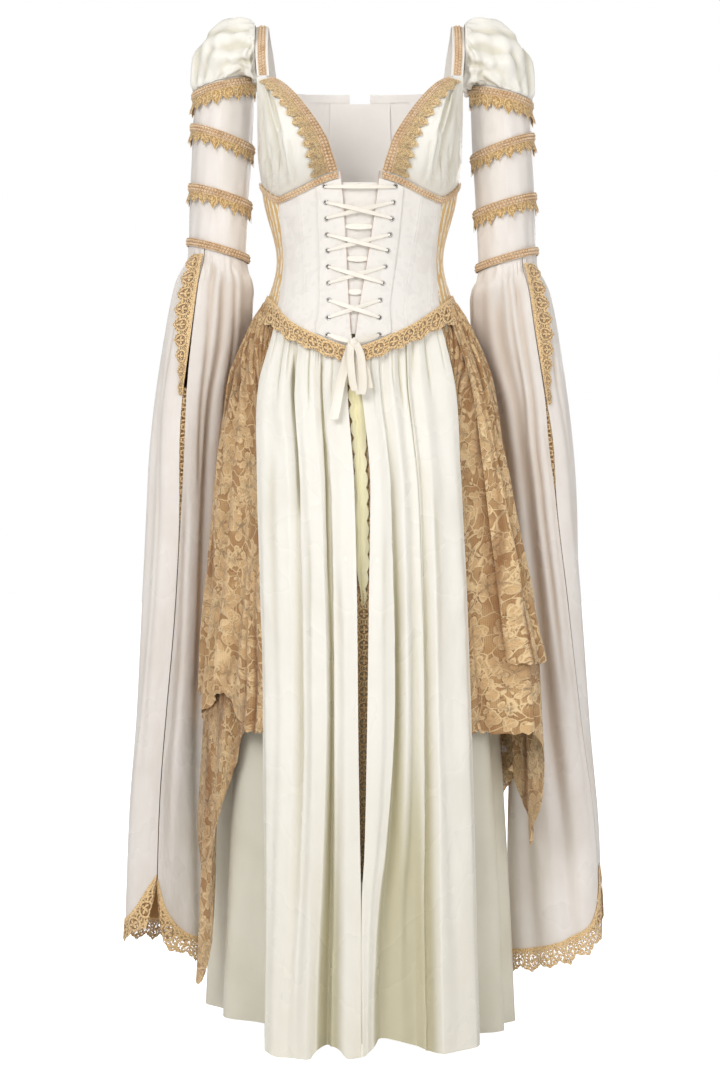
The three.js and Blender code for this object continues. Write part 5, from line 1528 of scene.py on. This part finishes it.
for side in allSides:
    makeCloth("skirt_panel", "front_panel", panelForm(side), skirt["grid"], ivorySatin, side, fine=panelFine(side),
              shade=panelShade(side))
    makeCloth("lace_skirt", "lace_overskirt", lambda u, v: overskirtPoint(u, v, side), overskirt["grid"], floralLace,
              side, thick=0.5, fine=overskirtFine, shade=tierShade(side),
              pattern=laceLay(overskirt["measured"], overskirt["pattern"][side]))
    tier = tiers[side]
    tierForm = lambda u, v: overskirtPoint(u, v, side, upperHemRows[side], *tier["span"], tier["low"], tiers["lift"])
    makeCloth("lace_tier", "lace_overskirt", tierForm, tiers["grid"], floralLace, side, thick=0.5,
              fine=lambda u, v: overskirtFine(tiers["share"] * u, v),
              # the front tier's painted fold shade, plus its painted shadow from the sleeve
              shade=lambda u, v: 0.8 * overskirtShade(tiers["share"] * u, v) + tier["sleeve_shadow"],
              pattern=laceLay(overskirt["measured"], tier["pattern"]))
for label, middle in (("front", 0), ("back", 180)):
    makeCloth(f"underskirt_{label}_cloth", f"underskirt_{label}",
              lambda u, v: underskirtPoint(middle + mix(-89.94, 89.94, u), v), (180, 110), skirtSatin, fine=underFine)


def waistLaceForm(u, v):
    angle = mix(0.4, 179.6, u**1.15)
    edge = teeth(u, 15, 3.0)
    width = 20 + 8 * ramp(angle, 30, 80) + 5 * edge
    return bodyPoint(angle, waistZ(angle) + 5 - width * v, 2.8 + 2.4 * v)


def innerForm(top, bottom, extra, half=11.0, scalloped=False):
    def form(u, v):
        z = mix(top, bottom, v)
        reach = half * mix(1, 0.6, ramp(z, -900, -1150))
        tooth = np.abs(np.sin(np.pi * 15 * v))
        nearLeft = reach - scalloped * (1.5 + 4.5 * ramp(v, 0.6, 0.3) * (1 - tooth) + 7 * ramp(v, 0.82, 1))
        nearRight = reach + scalloped * (2 - 6 * ramp(v, 0.3, 0.42) * (1 - 0.5 * tooth) - 5 * ramp(v, 0.82, 1))
        back = 1.55 + extra + 9 * ramp(z, -480, -580) + 12 * ramp(z, -560, -1000)
        return bodyPoint(angleOf(mix(-nearLeft, nearRight, u) + 5 * ramp(z, -474, -870), z), z, -back)
    return form


def innerFine(u, v):
    return (1.2 * softNoise(u * 3, v * 14, 81) - 2.2 * bump(u, 0.35 + 0.1 * v, 0.12)) * ramp(v, 0, 0.05)


def facingForm(u, v):  # the turned edge low in the gap
    z = mix(-1170, -1380, v)
    return bodyPoint(angleOf(mix(-12, 12, u), z), z, -12 - 3 * v)


for side in allSides:
    makeCloth("waist_lace_cloth", "waist_lace", waistLaceForm, (330, 10), crochetLace, side, thick=0.7,
              pattern=lambda u, v, along, down: (along / 24, 0.08 + v))
makeCloth("inner_satin", "inner_satin_strip", innerForm(-467, -806, 0, 11.0, True), (20, 240), yellowSatin,
          fine=innerFine)
makeCloth("inner_lace_top", "inner_satin_strip", innerForm(-468, -800, 3.4, 13.0), (16, 100), crochetLace,
          thick=0.6, pattern=lengthways(15))
makeCloth("front_facing", "front_panel_left", facingForm, (12, 50), ivorySatin)
makeCloth("inner_lace", "inner_lace_strip", innerForm(-786, -1160, 1.35), (16, 140), crochetLace,
          thick=0.6, pattern=lengthways(18))
print("skirt ready")


# Lacing

lacingWidth = 5.0
strandSteps = 30


def strandLine(start, end, out, behind=False, arch=0.0):
    t = np.linspace(0, 1, strandSteps)
    x, z = mix(start[0], end[0], t), mix(start[1], end[1], t)
    angle = 180 - angleOf(x, z) if behind else angleOf(x, z)
    return bodyPoint(angle, z, out + arch * np.sin(np.pi * t))


def strandForm(start, end, out, width=lacingWidth, behind=False, arch=0.0):  # a flat strand, narrower at its ends
    line = strandLine(start, end, out, behind, arch)
    t = np.linspace(0, 1, len(line))
    wide = width * mix(0.5, 1.15, np.sin(np.pi * t) ** 0.7)
    along = unit(np.gradient(line, axis=0))
    outward = unit(line * np.array([1.0, 1.0, 0.0]))
    across = unit(np.cross(along, outward))

    def form(u, v):
        i = np.rint(v * (len(line) - 1)).astype(int)
        spread = (u - 0.5)[..., None]
        twist = 0.35 * np.sin(np.pi * v)[..., None]
        span = spread * wide[i][..., None]
        return line[i] + across[i] * span + outward[i] * (twist * span - 0.8 * spread**2)
    return form


def strandMesh(name, strands, nodes):
    made = []
    for form in strands:
        made.append(gridPiece(name, leaned(form(*unitGrid(4, strandSteps - 1))) / 1000, ribbonCloth)[0])
        thicken(made[-1], 0.6)
    piece = outwardMesh(joined(made, name))
    smoothShade(50)
    rideOn(piece, nodes)
    return piece


def frontEyelet(i):
    point = spot(frontPoint, eyelets["inset"], eyeletShare(i))
    return float(point[0]), float(point[2])


for number, i in enumerate((1, 3, 5, 7), 1):
    (ax, az), (bx, bz) = frontEyelet(i), frontEyelet(i + 1)
    strandMesh(f"crossing_{number}", [
        strandForm((ax, az), (-bx, bz), 3.4, arch=1.4),
        strandForm((-ax, az), (bx, bz), 3.4, arch=2.6)], [f"lacing_cross_{number}"])
x, z = frontEyelet(0)
strandMesh("top_ribbon", [strandForm((-x, z - 1), (x, z - 1.5), 3.4, width=5.0, arch=0.8)], ["lacing_top_bar"])
for number, i in enumerate((2, 4, 6), 1):
    z = (frontEyelet(i)[1] + frontEyelet(i + 1)[1]) / 2
    half = float(frontGap(z)) - 0.5
    strandMesh(f"ribbon_bar_{number}", [strandForm((-half, z), (half, z - 0.5), 0.3, width=7.5)],
               [f"lacing_bar_{number}"])
backStrands = []
for i in range(5):
    z0, z1 = mix(-96, -384, i / 5), mix(-96, -384, (i + 1) / 5)
    x0, x1 = float(backGap(z0)) + 12, float(backGap(z1)) + 12
    backStrands.append(strandForm((x0, z0), (-x1, z1), 1.4, behind=True, arch=0.4))
    backStrands.append(strandForm((-x0, z0), (x1, z1), 1.6, behind=True, arch=1.6))
strandMesh("back_ribbons", backStrands, ["back_lacing"])

deselectAll()
kx, ky, kz = knot["place"]
centre = leaned(np.array([[kx, ky, kz]], float))[0] / 1000
bpy.ops.mesh.primitive_uv_sphere_add(segments=28, ring_count=18, radius=knot["size"] / 1000, location=centre.tolist())
knotPiece = bpy.context.object
knotPiece.name = knotPiece.data.name = "bow_knot"
knotPiece.scale = (1.0, 0.75, 1.2)
bpy.ops.object.transform_apply(location=True, rotation=True, scale=True)
for vertex in knotPiece.data.vertices:  # the knot's wrapped turns
    away = vertex.co - Vector(centre.tolist())
    groove = 1 + 0.09 * math.sin(away.z * 1900 + away.x * 700) + 0.05 * math.sin(away.x * 1500)
    vertex.co = Vector(centre.tolist()) + away * groove
knotPiece.data.materials.append(ribbonCloth)
bpy.ops.object.shade_smooth()
rideOn(knotPiece, ["lacing_bow"])
ex, ez = frontEyelet(9)
strandMesh("knot_ends", [
    strandForm((-ex, ez), (-1, kz + 1), 3.4, width=5.5, arch=3.0),
    strandForm((ex, ez), (1, kz + 1), 3.4, width=5.5, arch=3.4)], ["lacing_bow"])
loopPoints = {
    "a": ([(-2, -1, 1), (-4, -9, -14), (-3, -16, -36), (-1, -20, -56), (2, -21, -66), (3, -17, -56), (2, -10, -34),
           (0, -3, -12), (0, 0, -2)], 10.0),
    "b": ([(2, -1, 1), (9, -10, -14), (12, -18, -38), (12, -22, -60), (9, -23, -71), (7, -19, -60), (6, -11, -36),
           (4, -4, -14), (2, 0, -2)], 11.0),
}
for label, (rows, width) in loopPoints.items():
    ribbonPiece(f"bow_loop_{label}", curvePoints(rows, 60) + np.array(knot["place"]), width, ["lacing_bow"])
print("lacing ready")


# Floor, backdrop and light

deselectAll()
floorHeight = float(cadLow[2]) - 0.004
bpy.ops.mesh.primitive_plane_add(size=40, location=(0, 4, floorHeight))
floor = bpy.context.object
floor.name = "studio_floor"
floorMaterial, floorShader = newMaterial("studio_floor", 0.9)
grainNoise = noiseOf(objectPlace(), 1.2)
floorColour = blendColours(grainNoise, tone(252, 252, 252), tone(248, 248, 248))
paint(floorShader, floorColour)
floorShader.inputs["Emission Color"].default_value = (1, 1, 1, 1)
plug(floorShader.inputs["Emission Strength"],  # white to the camera, without lighting the dress from below
     addNode("ShaderNodeLightPath", {}).outputs["Is Camera Ray"])
floor.data.materials.append(floorMaterial)

lamps = {  # place, where it points, size, power
    "key": ((-1.4, -2.7, 1.0), (0, 0, -0.3), 1.5, 49),
    "fill": ((2.2, -3.0, 0.3), (0, 0, -0.6), 1.8, 30),
    "top": ((0.0, -0.6, 1.9), (0, 0, -0.5), 2.0, 6),
    "back": ((0.9, 3.4, 0.6), (0, 0, -0.6), 2.0, 34),
}
for label, (place, target, size, power) in lamps.items():
    data = bpy.data.lights.new(f"{label}_light", "AREA")
    data.shape, data.size, data.energy = "SQUARE", size, power
    lamp = bpy.data.objects.new(f"{label}_light", data)
    bpy.context.scene.collection.objects.link(lamp)
    lamp.location = place
    lamp.rotation_euler = (Vector(target) - Vector(place)).to_track_quat("-Z", "Y").to_euler()
world = bpy.data.worlds.new("white_studio")
world.use_nodes = True
growing.append(world.node_tree)
sky = world.node_tree.nodes["Background"]
sky.inputs["Color"].default_value = (1, 1, 1, 1)
seen = addNode("ShaderNodeLightPath", {}).outputs["Is Camera Ray"]
plug(sky.inputs["Strength"], scaledSum(seen, 0.55, 0.45))
bpy.context.scene.world = world
bpy.context.scene.view_settings.view_transform = "Standard"

bpy.context.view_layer.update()
added = [o for o in bpy.context.scene.objects if o.type == "MESH" and o.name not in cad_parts]
print(f"{sum(len(p.vertices) - 2 for o in added for p in o.data.polygons)} triangles in {len(added)} pieces")
for name, cut, area in sheetSizes:
    print(f"cloth {name}: {cut[0]} x {cut[1]} m, {area} square metres")
print("scene ready")
